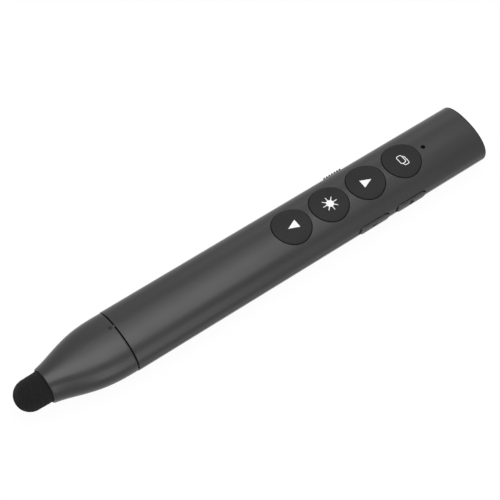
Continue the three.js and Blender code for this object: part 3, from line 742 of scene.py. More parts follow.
@dataclass(frozen=True)
class Finish:
    """A finish with a colour and a roughness. Each kind of finish builds its own material once."""

    name: str
    colour: Colour
    roughness: float

    def material(self) -> bpy.types.Material:
        """Build the material when it is first asked for.

        Returns:
            The material.
        """
        found = bpy.data.materials.get(self.name)
        if found:
            return found
        material = bpy.data.materials.new(self.name)
        material.use_nodes = True
        material.diffuse_color = (*self.colour, 1.0)
        wiring = Wiring(material.node_tree)
        shader = material.node_tree.nodes["Principled BSDF"]
        wiring.feed(shader, {"Base Color": (*self.colour, 1.0), "Roughness": self.roughness})
        self.dress(wiring, shader)
        return material

    def dress(self, wiring: Wiring, shader: Node) -> None:
        """Wire the finish's own detail into its shader."""
        raise NotImplementedError

    def vary(self, wiring: Wiring, shader: Node, mask: Socket, amount: float) -> None:
        """Lighten and darken the base colour a little by a mask.

        Args:
            wiring: The material's wiring.
            shader: The Principled BSDF.
            mask: A mask from 0 to 1.
            amount: The largest change, as a share of the colour.
        """
        dark, light = (
            (*(c * (1 + change) for c in self.colour), 1.0) for change in (-amount, amount)
        )
        mix = wiring.add("ShaderNodeMix", data_type="RGBA")
        wiring.feed(mix, {"Factor": mask, "A": dark, "B": light})
        wiring.feed(shader, {"Base Color": mix.outputs["Result"]})

    def bump(self, wiring: Wiring, shader: Node, height: Socket, depth: float) -> None:
        """Give the surface relief.

        Args:
            wiring: The material's wiring.
            shader: The Principled BSDF.
            height: The relief, from 0 to 1.
            depth: Its depth in metres.
        """
        relief = wiring.add("ShaderNodeBump")
        wiring.feed(relief, {"Strength": 1.0, "Distance": depth, "Height": height})
        wiring.feed(shader, {"Normal": relief.outputs["Normal"]})


@dataclass(frozen=True)
class GrainedPlastic(Finish):
    """Painted or moulded plastic with a fine grain and marks from handling."""

    grain_scale: float = 6000.0
    grain_depth: float = 0.004 * MM
    wear: float = 0.06
    variation: float = 0.06
    specular: float = 0.5

    def dress(self, wiring: Wiring, shader: Node) -> None:
        """Add grain, a faint speckle and handling marks.

        Args:
            wiring: The material's wiring.
            shader: The Principled BSDF.
        """
        grain = GRAIN.place(wiring, Scale=self.grain_scale)
        clean, worn = self.roughness - self.wear, self.roughness + self.wear
        marks = MARKS.place(wiring, Clean=clean, Worn=worn)
        self.vary(wiring, shader, grain["Speckle"], self.variation)
        self.bump(wiring, shader, grain["Height"], self.grain_depth)
        wiring.feed(shader, {"Roughness": marks["Roughness"], "Specular IOR Level": self.specular})


@dataclass(frozen=True)
class BrushedMetal(Finish):
    """Drawn, turned or plated metal with fine streaks."""

    wear: float = 0.1
    streak_scale: float = 900.0
    streak_depth: float = 0.002 * MM
    cloud_scale: float = 2500.0
    variation: float = 0.05

    def dress(self, wiring: Wiring, shader: Node) -> None:
        """Add streaks to the roughness and the relief, and a slow cloud to the colour.

        Args:
            wiring: The material's wiring.
            shader: The Principled BSDF.
        """
        low, high = self.roughness - self.wear, self.roughness + self.wear
        streaks = STREAKS.place(wiring, Scale=self.streak_scale, Low=low, High=high)
        cloud = GRAIN.place(wiring, Scale=self.cloud_scale)["Cloud"]
        self.vary(wiring, shader, cloud, self.variation)
        self.bump(wiring, shader, streaks["Height"], self.streak_depth)
        wiring.feed(shader, {"Roughness": streaks["Roughness"], "Metallic": 1.0})


@dataclass(frozen=True)
class KnittedYarn(Finish):
    """Near-black knitted conductive yarn with a faint sheen."""

    wales: float = 62.0
    row_pitch: float = 0.4 * MM
    relief: float = 0.05 * MM
    gap_shade_and_tone: float = 0.75
    sheen: float = 0.07
    sheen_roughness: float = 0.5
    specular: float = 0.1

    def dress(self, wiring: Wiring, shader: Node) -> None:
        """Add loops, painted shade in the gaps between them with a random fuzz tone over it, and
        sheen.

        Args:
            wiring: The material's wiring.
            shader: The Principled BSDF.
        """
        knit = KNIT.place(wiring, Wales=self.wales, Row_Pitch=self.row_pitch)
        # The base colour is darkened in the low gaps between loops, which is painted shade, with a
        # random fuzz tone over it.
        self.vary(wiring, shader, knit["Thread"], self.gap_shade_and_tone)
        self.bump(wiring, shader, knit["Height"], self.relief)
        wiring.feed(shader, {"Sheen Weight": self.sheen, "Sheen Roughness": self.sheen_roughness})
        wiring.feed(shader, {"Specular IOR Level": self.specular})


@dataclass(frozen=True)
class ClearPlastic(Finish):
    """Clear or smoked plastic and glass."""

    ior: float = 1.49
    transmission: float = 0.9
    grain_scale: float = 1500.0
    grain_depth: float = 0.0006 * MM
    variation: float = 0.04

    def dress(self, wiring: Wiring, shader: Node) -> None:
        """Let light through and add a very fine unevenness.

        Args:
            wiring: The material's wiring.
            shader: The Principled BSDF.
        """
        grain = GRAIN.place(wiring, Scale=self.grain_scale)
        self.bump(wiring, shader, grain["Height"], self.grain_depth)
        self.vary(wiring, shader, grain["Cloud"], self.variation)
        wiring.feed(shader, {"Transmission Weight": self.transmission, "IOR": self.ior})


@dataclass(frozen=True)
class CircuitBoard(Finish):
    """Green solder mask with copper tracks showing faintly through it."""

    track_scale: float = 900.0
    track_edge: Span = (0.36, 0.44)
    track_depth: float = 0.02 * MM
    variation: float = 0.35
    coat: float = 0.3

    def dress(self, wiring: Wiring, shader: Node) -> None:
        """Lay out square tracks under the mask.

        Args:
            wiring: The material's wiring.
            shader: The Principled BSDF.
        """
        tracks = wiring.add("ShaderNodeTexVoronoi", distance="CHEBYCHEV", feature="F1")
        wiring.feed(tracks, {"Vector": wiring.here(), "Scale": self.track_scale})
        edge = wiring.remap(tracks.outputs["Distance"], self.track_edge)
        self.vary(wiring, shader, edge, self.variation)
        self.bump(wiring, shader, edge, self.track_depth)
        wiring.feed(shader, {"Coat Weight": self.coat})


@dataclass(frozen=True)
class Finishes:
    """All the finishes of the pen."""

    paint: Finish = GrainedPlastic(
        "satin_grey_paint", (0.0187, 0.0187, 0.019), 0.32,
        grain_scale=5200.0, wear=0.04, specular=0.325,
    )
    key: Finish = GrainedPlastic(
        "matt_black_key", (0.0145, 0.0145, 0.0148), 0.55, grain_scale=7000.0, specular=0.1375
    )
    gloss: Finish = GrainedPlastic(
        "gloss_black", (0.006, 0.006, 0.0062), 0.2,
        grain_depth=0.0006 * MM, wear=0.03, specular=0.22,
    )
    moulded: Finish = GrainedPlastic(
        "moulded_black", (0.022, 0.022, 0.0225), 0.5, grain_scale=4000.0
    )
    rubber: Finish = GrainedPlastic(
        "foot_rubber", (0.018, 0.018, 0.0185), 0.8,
        grain_scale=3500.0, grain_depth=0.01 * MM, specular=0.3,
    )
    print_white: Finish = GrainedPlastic(
        "printed_white", (0.75, 0.75, 0.75), 0.55,
        grain_scale=8000.0, grain_depth=0.001 * MM, variation=0.02,
    )
    knit: Finish = KnittedYarn("knitted_yarn", (0.0126, 0.0126, 0.0129), 0.9)
    foam: Finish = GrainedPlastic(
        "soft_foam", (0.03, 0.03, 0.031), 0.95,
        grain_scale=2500.0, grain_depth=0.03 * MM, specular=0.2,
    )
    steel: Finish = BrushedMetal("plated_steel", (0.62, 0.62, 0.63), 0.26)
    brass: Finish = BrushedMetal("turned_brass", (0.72, 0.53, 0.24), 0.28)
    pouch: Finish = BrushedMetal("foil_pouch", (0.52, 0.53, 0.55), 0.38, streak_scale=300.0)
    lens: Finish = ClearPlastic("red_lens", (0.5, 0.06, 0.05), 0.05, ior=1.52)
    smoked: Finish = ClearPlastic("smoked_light_pipe", (0.05, 0.05, 0.052), 0.15, transmission=0.6)
    milky: Finish = GrainedPlastic("milky_plastic", (0.62, 0.62, 0.6), 0.35, grain_scale=3000.0)
    resin: Finish = GrainedPlastic("chip_resin", (0.016, 0.016, 0.0165), 0.45, grain_scale=5000.0)
    board: Finish = CircuitBoard("green_board", (0.028, 0.13, 0.05), 0.35)


def settle(
    piece: Piece,
    finish: Finish,
    body: Body,
    stands_for: Sequence[str] = (),
    sharp_from: float | None = 32.0,
) -> None:
    """Shade and dress a finished piece and let it ride on its body.

    Args:
        piece: The piece, with its place in its mesh.
        finish: Its finish.
        body: The body that it moves with.
        stands_for: The CAD nodes that it replaces.
        sharp_from: The angle in degrees from which an edge stays sharp, or None for flat faces.
    """
    if sharp_from is not None:
        smooth(piece, sharp_from)
    piece.data.materials.clear()
    piece.data.materials.append(finish.material())
    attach(piece, body.value)
    if stands_for:
        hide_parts(*stands_for)
    LOG.info("%s: %d faces on %s", piece.name, len(piece.data.polygons), body.value)


# -------------------------------------------------------------------------------------------------
# The pen's section
# -------------------------------------------------------------------------------------------------


@dataclass(frozen=True)
class Section:
    """The flattened cross-section of the pen, cut flat along the belly."""

    half_width: float = 10.06 * MM
    half_height: float = 6.5 * MM
    belly: float = 6.2 * MM
    power: float = 2.2
    axis_height: float = 6.5 * MM

    def inset(self, step: float) -> "Section":
        """The section set in by an even step."""
        sides = (self.half_width, self.half_height, self.belly)
        width, height, belly = (side - step for side in sides)
        return replace(self, half_width=width, half_height=height, belly=belly)

    def blended(self, radius: float, share: float) -> "Section":
        """The section on its way to a circle.

        Args:
            radius: The circle's radius.
            share: 0 for this section and 1 for the circle.

        Returns:
            The section between.
        """
        start = (self.half_width, self.half_height, self.belly, self.power)
        mixed = (a + (b - a) * share for a, b in zip(start, (radius, radius, radius, 2.0)))
        return Section(*mixed, self.axis_height)

    def ring(self, x: float, count: int) -> Ring:
        """Points round the section at a place along the pen.

        Args:
            x: The place along the pen.
            count: How many points.

        Returns:
            The points, with none on the part line or the middle line.
        """
        points = []
        for i in range(count):
            angle = 2 * math.pi * (i + 0.5) / count
            y, z = math.cos(angle), math.sin(angle)
            y = self.half_width * math.copysign(abs(y) ** (2 / self.power), y)
            z = self.half_height * math.copysign(abs(z) ** (2 / self.power), z)
            points.append(Vector((x, y, self.axis_height + max(z, -self.belly))))
        return points

    def top(self, y: float) -> float:
        """The height of the upper surface at a place across the pen."""
        share = min(abs(y) / self.half_width, 1.0)
        return self.axis_height + self.half_height * (1 - share**self.power) ** (1 / self.power)

    def reach(self, z: float) -> float:
        """How far the side stands from the middle at a height."""
        share = min(abs(z - self.axis_height) / self.half_height, 1.0)
        return self.half_width * (1 - share**self.power) ** (1 / self.power)


def quarter(radius: float, steps: int) -> list[Pair]:
    """Points of a rounded edge, as pairs of how far it is set back and how far it is set in.

    Args:
        radius: The radius of the edge.
        steps: How many steps it has.

    Returns:
        From the flat face, set in by the whole radius, to the side, set back by the whole radius.
    """
    angles = [math.pi / 2 * i / steps for i in range(steps + 1)]
    return [(radius * (1 - math.cos(a)), radius * (1 - math.sin(a))) for a in angles]


def soft_end(
    section: Section, x: float, way: int, edge: float, steps: int, sides: int
) -> list[Ring]:
    """Round the edge of an end face.

    Args:
        section: The section behind the edge.
        x: Where the end face lies.
        way: 1 for the end at the tip, where the rings start, and -1 for the end at the tail.
        edge: The radius of the edge.
        steps: How many steps it has.
        sides: How many points each ring has.

    Returns:
        The rings of the edge, from the tip to the tail.
    """
    rings = [
        section.inset(inward).ring(x + way * back, sides) for back, inward in quarter(edge, steps)
    ]
    return rings[::way]


# -------------------------------------------------------------------------------------------------
# Sub-assemblies
# -------------------------------------------------------------------------------------------------


@dataclass
class Assembly:
    """A sub-assembly, shaped by the pen's section and dressed in the pen's finishes."""

    section: Section
    finishes: Finishes


@dataclass
class BodyShells(Assembly):
    """The upper and lower shell with their openings, and the two rubber feet."""

    wall: float = 1.4 * MM
    sides: int = 256
    stations: int = 64
    end_round: float = 0.12 * MM
    end_steps: int = 3
    part_gap: float = 0.12 * MM
    part_edge: float = 0.1 * MM
    fit_gap: float = 0.3 * MM
    button_gap: float = 0.22 * MM
    hole_sides: int = 128
    hole_edge: float = 0.08 * MM
    rim_slack: Pair = (0.02 * MM, 0.03 * MM)
    lamp_radius: float = 0.68 * MM
    lamp_sides: int = 40
    sharp_from: float = 16.0
    slider_travel: float = 2 * MM
    overrun: float = 4 * MM
    foot_corner: float = 0.7 * MM
    foot_edge: float = 0.15 * MM
    foot_gap: float = 0.1 * MM
    feet: tuple[str, ...] = ("foot_front", "foot_rear")

    def tube(self) -> Piece:
        """Extrude the body tube, with its two soft ends and its wall.

        Returns:
            The whole tube.
        """
        low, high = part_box("upper_shell")
        start, end = low.x + 2 * self.end_round, high.x - 2 * self.end_round
        inner = self.section.inset(self.wall)
        rings = [
            *soft_end(self.section, low.x, 1, self.end_round, self.end_steps, self.sides),
            *(self.section.ring(x, self.sides) for x in spread(start, end, self.stations)),
            *soft_end(self.section, high.x, -1, self.end_round, self.end_steps, self.sides),
            inner.ring(high.x, self.sides),
            inner.ring(low.x, self.sides),
        ]
        return loft("body_tube", [*rings, rings[0]], closed=True)

    def half(self, tube: Piece, name: str, side: int) -> Piece:
        """Cut the tube along its part line and soften the outer edge of the cut.

        Args:
            tube: The whole tube, which stays as it is.
            name: The name of the half.
            side: 1 for the upper and -1 for the lower half.

        Returns:
            The half.
        """
        shell = twin(tube, name, Vector())
        level = self.section.axis_height + side * self.part_gap / 2
        outer = self.section.half_width - self.wall / 2

        def on_part_line(a: Vector, b: Vector) -> bool:
            """Whether an edge is a long outer one in the plane of the cut."""
            flat = max(abs(a.z - level), abs(b.z - level)) < NEAR
            return flat and min(abs(a.y), abs(b.y)) > outer and abs(a.x - b.x) > self.overrun

        with editing(shell):
            bpy.ops.mesh.select_all(action="SELECT")
            bpy.ops.mesh.bisect(
                plane_co=(0, 0, level), plane_no=(0, 0, -side), use_fill=True, clear_outer=True
            )
            bpy.ops.mesh.select_mode(type="EDGE")
            pick(shell, Element.EDGE, on_part_line)
            bpy.ops.mesh.bevel(offset=self.part_edge, segments=2, clamp_overlap=True)
            face_outwards()
        return shell

    def side_openings(self) -> list[Piece]:
        """Make the cutters of the two key slots and the slider's slot.

        Returns:
            The three cutters.
        """
        reach = self.section.half_width + self.overrun
        inner = self.section.half_width - self.overrun
        cutters = []
        for node, control, near, far, travel in (
            ("volume_down_key", VolumeKeys, -reach, -inner, 0.0),
            ("volume_up_key", VolumeKeys, -reach, -inner, 0.0),
            ("power_slider", PowerSlider, inner, reach, self.slider_travel),
        ):
            # A control's flange is wider than its knob, so the slot starts from the box's middle.
            centre = Vector((middle_of(node) + control.shift, 0, self.section.axis_height))
            half = Vector((control.length / 2 + self.fit_gap, 0, control.height / 2 + self.fit_gap))
            cutters.append(
                rounded_block(
                    f"{node}_slot",
                    centre - half + Vector((0, near, 0)),
                    centre + half + Vector((travel, far, 0)),
                    Axis.Y,
                    corner=2 * self.fit_gap if travel else half.z,
                )
            )
        return cutters

    def top_openings(self) -> list[Piece]:
        """Make the cutters of the button holes and the lamp hole.

        Returns:
            The five cutters.
        """
        axis = self.section.axis_height
        rise = (axis + self.overrun / 4, axis + 3 * self.overrun)
        radius = RoundButtons.radius + self.button_gap
        cutters = [post("hole", x, radius, rise, self.hole_sides) for x in RoundButtons.middles()]
        lamp = middle_of("light_pipe")
        cutters.append(post("lamp_hole", lamp, self.lamp_radius, rise, self.lamp_sides))
        return cutters

    def soften_holes(self, shell: Piece) -> None:
        """Round the outer edges of the button holes a little.

        Args:
            shell: The upper shell.
        """
        middles = RoundButtons.middles()
        radius = RoundButtons.radius + self.button_gap

        def on_rim(*ends: Vector) -> bool:
            """Whether places are on the outer edge of a button hole."""
            aside = max(
                min(abs(math.hypot(p.x - middle, p.y) - radius) for middle in middles) for p in ends
            )
            above = max(abs(p.z - self.section.top(p.y)) for p in ends)
            return aside < self.rim_slack[0] and above < self.rim_slack[1]

        with editing(shell, Element.EDGE):
            pick(shell, Element.EDGE, on_rim)
            bpy.ops.mesh.bevel(offset=self.hole_edge, segments=2, clamp_overlap=True)

    def foot_pockets(self) -> list[Piece]:
        """Make the cutters of the two pockets in the belly.

        Returns:
            The two cutters.
        """
        step = Vector((self.foot_gap, self.foot_gap, 0))
        below = Vector((0, 0, self.overrun / 4))
        corner = self.foot_corner + self.foot_gap
        boxes = [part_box(node) for node in self.feet]
        return [
            rounded_block("pocket", low - step - below, high + step, corner=corner)
            for low, high in boxes
        ]

    def make_feet(self) -> None:
        """Make the two rubber feet."""
        for node in self.feet:
            low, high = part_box(node)
            foot = rounded_block(
                f"{node}_pad", low, high, corner=self.foot_corner, edge=self.foot_edge
            )
            settle(foot, self.finishes.rubber, Body.SHELL, [node])

    def build(self) -> None:
        """Build both shells and the feet."""
        tube = self.tube()
        upper = self.half(tube, "upper_casing", 1)
        lower = self.half(tube, "lower_casing", -1)
        bpy.data.objects.remove(tube)
        cut(upper, self.side_openings() + self.top_openings())
        self.soften_holes(upper)
        cut(lower, self.side_openings() + self.foot_pockets())
        for shell, node in ((upper, "upper_shell"), (lower, "lower_shell")):
            settle(shell, self.finishes.paint, Body.SHELL, [node], self.sharp_from)
        self.make_feet()


@dataclass
class NoseCap(Assembly):
    """The tapering nose cap, from seam to round collar, with a dark pin that paints the shade of a
    shallow dimple, and a tab at the seam.
    """

    sides: int = 224
    stations: int = 56
    inner_stations: int = 16
    step: float = 0.13 * MM
    wall: float = 1.3 * MM
    wave_share: float = 0.84
    shoulder_power: float = 1.46
    tip_lift: float = 0.26 * MM
    hump: float = 0.15 * MM
    collar_radius: float = 5.33 * MM
    mouth_radius: float = 4.95 * MM
    mouth_depth: float = 1.3 * MM
    bore_radius: float = 4.2 * MM
    block_length: float = 7.3 * MM
    edge: float = 0.12 * MM
    edge_steps: int = 3
    collar_edge: float = 0.22 * MM
    collar_steps: int = 4
    pin_radius: float = 0.56 * MM
    pin_gap: float = 0.02 * MM
    pin_sunk: float = 0.02 * MM
    pin_depth: float = 0.6 * MM
    pin_sides: int = 48
    pin_place: Pair = (1.15 * MM, 1.9 * MM)
    tab_width: float = 0.6 * MM
    tab_reach: float = 0.31 * MM
    tab_sunk: float = 0.12 * MM
    tab_corner: float = 0.1 * MM
    tab_edge: float = 0.05 * MM

    def outline(self, share: float, inward: float) -> Section:
        """The nose's section somewhere along it.

        Args:
            share: How far along, from 0 at the seam to 1 at the collar.
            inward: How far the section is set in.

        Returns:
            The section.
        """

        def wave(value: float) -> float:
            """The nose's curve, from 0 at the seam."""
            return 1 - math.cos(math.pi * self.wave_share * value**self.shoulder_power)

        back = self.section.inset(self.step + inward)
        share = max(share, 0.0)
        slim = back.blended(self.collar_radius - inward, wave(share) / wave(1.0))
        lift = share * self.tip_lift + math.sin(math.pi * share) * self.hump
        return replace(slim, axis_height=slim.axis_height + lift)

    def pin(self, x: float, y: float, skin: Section) -> Piece:
        """Stand a dark pin in the nose's upper side and follow the skin with its top. Its dark top
        is painted shade in place of a shallow dimple.

        Args:
            x: Its place along the pen.
            y: Its place across the pen.
            skin: The nose's section at that place.

        Returns:
            The cutter of its hole.
        """
        level = skin.top(y)
        rise = (level - self.pin_depth, level + self.pin_depth)
        pin = post("nose_pin", x, self.pin_radius - self.pin_gap, rise, self.pin_sides)

        def follow(place: Vector) -> Vector:
            """Set a point of the pin aside and lay the pin's top just under the skin."""
            across = place.y + y
            height = skin.top(across) - self.pin_sunk if place.z > level else place.z
            return Vector((place.x, across, height))

        shift_points(pin, follow)
        # The pin's dark finish paints the shade of a shallow dimple as a dark spot on the nose.
        settle(pin, self.finishes.key, Body.NOSE)
        deeper = (rise[0] - self.pin_gap, rise[1])
        hole = post("pin_hole", x, self.pin_radius, deeper, self.pin_sides)
        shift_points(hole, lambda p: p + Vector((0, y, 0)))
        return hole

    def tab(self, x: float, y: float) -> None:
        """Bridge the seam with a small tab that lines the nose up with the body.

        Args:
            x: The place of the seam along the pen.
            y: The tab's place across the pen.
        """
        level = self.section.top(y) - self.tab_sunk
        tab = rounded_block(
            "nose_tab",
            Vector((x - self.tab_reach, y - self.tab_width / 2, level - 2 * self.tab_width)),
            Vector((x + self.tab_reach, y + self.tab_width / 2, level)),
            corner=self.tab_corner,
            edge=self.tab_edge,
            steps=2,
        )
        settle(tab, self.finishes.paint, Body.NOSE)

    def build(self) -> None:
        """Extrude the nose from ring to ring, hollow it and set in its pin and its tab."""
        low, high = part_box("nose_cap")
        front, back = low.x, high.x
        length = back - front

        def ring(share: float, inward: float) -> Ring:
            """A ring of the nose's skin."""
            return self.outline(share, inward).ring(back - share * length, self.sides)

        seam_edge = quarter(self.edge, self.edge_steps)
        rings = [ring(set_back / length, inward) for set_back, inward in seam_edge]
        start, end = self.edge / length, 1 - self.collar_edge / length
        rings += [ring(share, 0.0) for share in spread(start, end, self.stations)[1:-1]]
        for set_back, inward in reversed(quarter(self.collar_edge, self.collar_steps)):
            rings.append(ring(1 - set_back / length, inward))
        for radius, reach in (
            (self.mouth_radius, 0.0),
            (self.mouth_radius, self.mouth_depth),
            (self.bore_radius, self.mouth_depth),
            (self.bore_radius, self.block_length),
        ):
            bore = Section(radius, radius, radius, 2.0, self.section.axis_height + self.tip_lift)
            rings.append(bore.ring(front + reach, self.sides))
        deep = (length - self.block_length) / length
        hollow = spread(0.0, deep, self.inner_stations)[::-1]
        rings += [ring(share, self.wall) for share in hollow]
        nose = loft("nose_casing", [*rings, rings[0]], closed=True)
        setback, y = self.pin_place
        cut(nose, [self.pin(back - setback, y, self.outline(setback / length, 0.0))])
        self.tab(back, y)
        settle(nose, self.finishes.paint, Body.NOSE, ["nose_cap"])


@dataclass
class StylusTip(Assembly):
    """The knitted dome on its neck, with the foam core behind it."""

    sides: int = 300
    radius: float = 4.61 * MM
    flare: float = 0.12 * MM
    neck_radius: float = 2.8 * MM
    shoulder: float = 0.3 * MM
    shoulder_steps: int = 5
    shoulder_way: Pair = (0.7, 0.7)
    inside: float = 1.0 * MM
    reach: float = 0.15 * MM
    pitch: float = 0.09 * MM
    loop_height: float = 0.07 * MM
    loop_slant: float = 1.6
    loop_gap: float = 0.4
    fuzz_height: float = 0.1 * MM
    fuzz_size: float = 0.28 * MM
    wales: int = 60
    row_pitch: float = 0.42 * MM
    core_sides: int = 96
    core_bends: int = 24
    core_edge: float = 0.3 * MM
    core_steps: int = 4
    core_lumps: float = 0.06 * MM
    core_sharp_from: float = 60.0

    def profile(self) -> list[tuple[float, float, Vector]]:
        """Lay out the outline from the pole to the neck.

        Returns:
            Points as a place along the pen, a radius and the direction that points outwards, or
            none on the neck.
        """
        low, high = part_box("fabric_tip")
        middle = low.x - self.reach + self.radius
        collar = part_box("nose_cap")[0].x + self.inside
        points = []
        steps = round(math.pi / 2 * self.radius / self.pitch)
        for i in range(1, steps + 1):
            angle = math.pi / 2 * i / steps
            way = Vector((-math.cos(angle), math.sin(angle), 0))
            points.append((middle + way.x * self.radius, way.y * self.radius, way))
        straight = collar - self.shoulder - middle
        steps = round(straight / self.pitch)
        for i in range(1, steps + 1):
            x, radius = middle + straight * i / steps, self.radius + self.flare * i / steps
            points.append((x, radius, Vector((0, 1, 0))))
        for back, inward in quarter(self.shoulder, self.shoulder_steps)[-2::-1]:
            radius = self.radius + self.flare - inward
            points.append((collar - back, radius, Vector((*self.shoulder_way, 0))))
        return points + [(x, self.neck_radius, Vector()) for x in (collar, high.x)]

    def lift(self, x: float, radius: float, angle: float) -> float:
        """How far the knit stands out at a place.

        Args:
            x: The place along the pen.
            radius: The distance from the axis.
            angle: The angle round the axis.

        Returns:
            A height in metres, about 0 on average.
        """
        across = abs(angle / (2 * math.pi) * self.wales % 1.0 - 0.5)
        legs = math.sin(2 * math.pi * (x / self.row_pitch + self.loop_slant * across))
        loops = legs - self.loop_gap * math.cos(4 * math.pi * across)
        at = Vector((x, radius * math.cos(angle), radius * math.sin(angle))) / self.fuzz_size
        return self.loop_height / 2 * loops + self.fuzz_height * noise.noise(at)

    def core(self, axis: float) -> None:
        """Turn the soft foam core that fills the knit and its neck.

        Args:
            axis: The height of its axis.
        """
        low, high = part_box("tip_core")
        radius = (high.z - low.z) / 2
        middle = low.x + radius
        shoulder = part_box("nose_cap")[0].x - self.core_edge
        stem = self.neck_radius - 2 * self.core_edge
        bends = [math.pi / 2 * i / self.core_bends for i in range(self.core_bends + 1)]
        profile = [(middle - radius * math.cos(bend), radius * math.sin(bend)) for bend in bends]
        for back, inward in quarter(self.core_edge, self.core_steps)[-2::-1]:
            profile.append((shoulder - back, radius - inward))
        profile += [(shoulder, stem), (high.x - self.core_edge, stem)]
        profile += [(high.x, stem - self.core_edge), (high.x, 0.0)]
        foam = turned("foam_core", profile, axis, self.core_sides)
        shift_points(foam, lambda p: p + Vector((0, 1, 1)) * self.core_lumps * noise.noise(p / MM))
        settle(foam, self.finishes.foam, Body.NOSE, ["tip_core"], self.core_sharp_from)

    def build(self) -> None:
        """Turn the core, then extrude the dome from ring to ring and raise its loops."""
        axis = self.section.axis_height + NoseCap.tip_lift
        self.core(axis)
        rings = []
        for x, radius, way in self.profile():
            ring = []
            for i in range(self.sides):
                angle = 2 * math.pi * i / self.sides
                high = self.lift(x, radius, angle) * min(1.0, radius / MM) if way.length else 0.0
                r = radius + way.y * high
                y, z = r * math.cos(angle), axis + r * math.sin(angle)
                ring.append(Vector((x + way.x * high, y, z)))
            rings.append(ring)
        dome = loft("knitted_dome", rings)
        settle(dome, self.finishes.knit, Body.NOSE, ["fabric_tip"], 180.0)


@dataclass
class RoundButtons(Assembly):
    """Four round buttons whose tops follow the casing, with their printed signs."""

    sides: int = 160
    radius: float = 5.85 * MM
    proud: float = 0.25 * MM
    top_rings: int = 22
    pole: float = 0.0002 * MM
    rim_round: float = 0.14 * MM
    rim_steps: int = 5
    flange: float = 0.57 * MM
    rim: float = 0.75 * MM
    boss_radius: float = 1.4 * MM
    crown: float = 3.1 * MM
    under_shell: float = 1.7 * MM
    print_lift: float = 0.012 * MM
    print_depth: float = 0.03 * MM
    print_reach: float = 2.7 * MM
    print_lines: int = 28
    print_offset: Pair = (0.15 * MM, -0.31 * MM)
    line: float = 0.24 * MM
    triangle_size: Pair = (1.65 * MM, 1.42 * MM)
    triangle_drop: float = 0.07 * MM
    triangle_corner: float = 0.08 * MM
    triangle_steps: int = 3
    disc_sides: int = 48
    rays: int = 8
    ray_root: float = 0.99
    sun_radii: Pair = (1.14 * MM, 2.4 * MM)
    ray_widths: Pair = (0.3 * MM, 0.2 * MM)
    pane_size: Pair = (1.74 * MM, 2.76 * MM)
    pane_corner: float = 0.6 * MM
    pane_steps: int = 6
    pane_middle: Pair = (-0.26 * MM, 0.35 * MM)
    pane_step: Pair = (0.59 * MM, -0.83 * MM)
    overlap_reach: float = 1.0 * MM
    bodies: tuple[Body, ...] = (Body.BACK, Body.LASER, Body.FORWARD, Body.WINDOW)

    @staticmethod
    def middles() -> list[float]:
        """Where the middles of the four buttons lie along the pen."""
        return [middle_of(f"button_{number}") for number in range(1, len(Symbol) + 1)]

    def cap(self, name: str, x: float, low: float, boss: float) -> Piece:
        """Extrude one button from the middle of its top, over the rim and back under it.

        Args:
            name: The name of the piece.
            x: Its place along the pen.
            low: The height of its flange's underside.
            boss: The height of the boss's underside.

        Returns:
            The button.
        """
        angles = [2 * math.pi * (i + 0.5) / self.sides for i in range(self.sides)]
        crown = self.section.inset(-self.proud)
        under = self.section.inset(self.under_shell)
        ceiling = self.section.axis_height + self.section.half_height - self.crown

        def ring(radius: float, height: Callable[[float], float]) -> Ring:
            """A ring of the button at a height that depends on the place across the pen."""
            points = [(radius * math.cos(a), radius * math.sin(a)) for a in angles]
            return [Vector((x + u, v, height(v))) for u, v in points]

        radii = spread(self.pole, self.radius - self.rim_round, self.top_rings)
        rings = [ring(radius, crown.top) for radius in radii]
        for drop, inward in quarter(self.rim_round, self.rim_steps)[1:]:
            rings.append(ring(self.radius - inward, lambda v, d=drop: crown.top(v) - d))
        wide = self.radius + self.flange
        rings += [ring(self.radius, under.top), ring(wide, under.top)]
        for radius, level in (
            (wide, low),
            (self.radius - self.rim, low),
            (self.radius - self.rim, ceiling),
            (self.boss_radius, ceiling),
            (self.boss_radius, boss),
            (self.pole, boss),
        ):
            rings.append(ring(radius, lambda v, z=level: z))
        return loft(name, rings)

    def flat_shape(self, points: Sequence[Pair]) -> Piece:
        """Draw a flat filled outline from a circle with as many points.

        Args:
            points: The outline's corners.

        Returns:
            The flat shape.
        """
        circle = bpy.ops.mesh.primitive_circle_add
        shape = start_piece("outline", circle, vertices=len(points), radius=MM, fill_type="NGON")
        for vertex, (u, v) in zip(shape.data.vertices, points):
            vertex.co = Vector((u, v, 0))
        return shape

    def soften(self, shape: Piece, radius: float, segments: int) -> None:
        """Round the corners of a flat outline.

        Args:
            shape: The outline.
            radius: The radius of its corners.
            segments: How many steps a corner has.
        """
        with editing(shape):
            bpy.ops.mesh.select_all(action="SELECT")
            bpy.ops.mesh.bevel(
                affect="VERTICES", offset=radius, segments=segments, clamp_overlap=True
            )

    def pane_half(self) -> Pair:
        """Half the outer size of a window, with its line."""
        return tuple((side + self.line) / 2 for side in self.pane_size)

    def pane(self, offset: Pair) -> Piece:
        """Draw one window of the last sign, a hollow rectangle with round corners.

        Args:
            offset: How far it stands from the first window.

        Returns:
            The flat outline, as wide as the print's line.
        """
        x, y = self.pane_half()
        middle = Vector(self.pane_middle) + Vector(offset)
        corners = [(-x, -y), (x, -y), (x, y), (-x, y)]
        shape = self.flat_shape([(middle.x + u, middle.y + v) for u, v in corners])
        self.soften(shape, self.pane_corner, self.pane_steps)
        with editing(shape, Element.FACE):
            bpy.ops.mesh.select_all(action="SELECT")
            bpy.ops.mesh.inset(thickness=self.line)
            bpy.ops.mesh.delete(type="FACE")
        return shape

    def triangle(self, way: int) -> Piece:
        """Draw a triangle that points along the pen.

        Args:
            way: 1 towards the tail and -1 towards the tip.

        Returns:
            The flat shape.
        """
        tip, half = self.triangle_size
        corners = [(way * tip, -self.triangle_drop), (-way * tip, half), (-way * tip, -half)]
        shape = self.flat_shape(corners)
        self.soften(shape, self.triangle_corner, self.triangle_steps)
        return shape

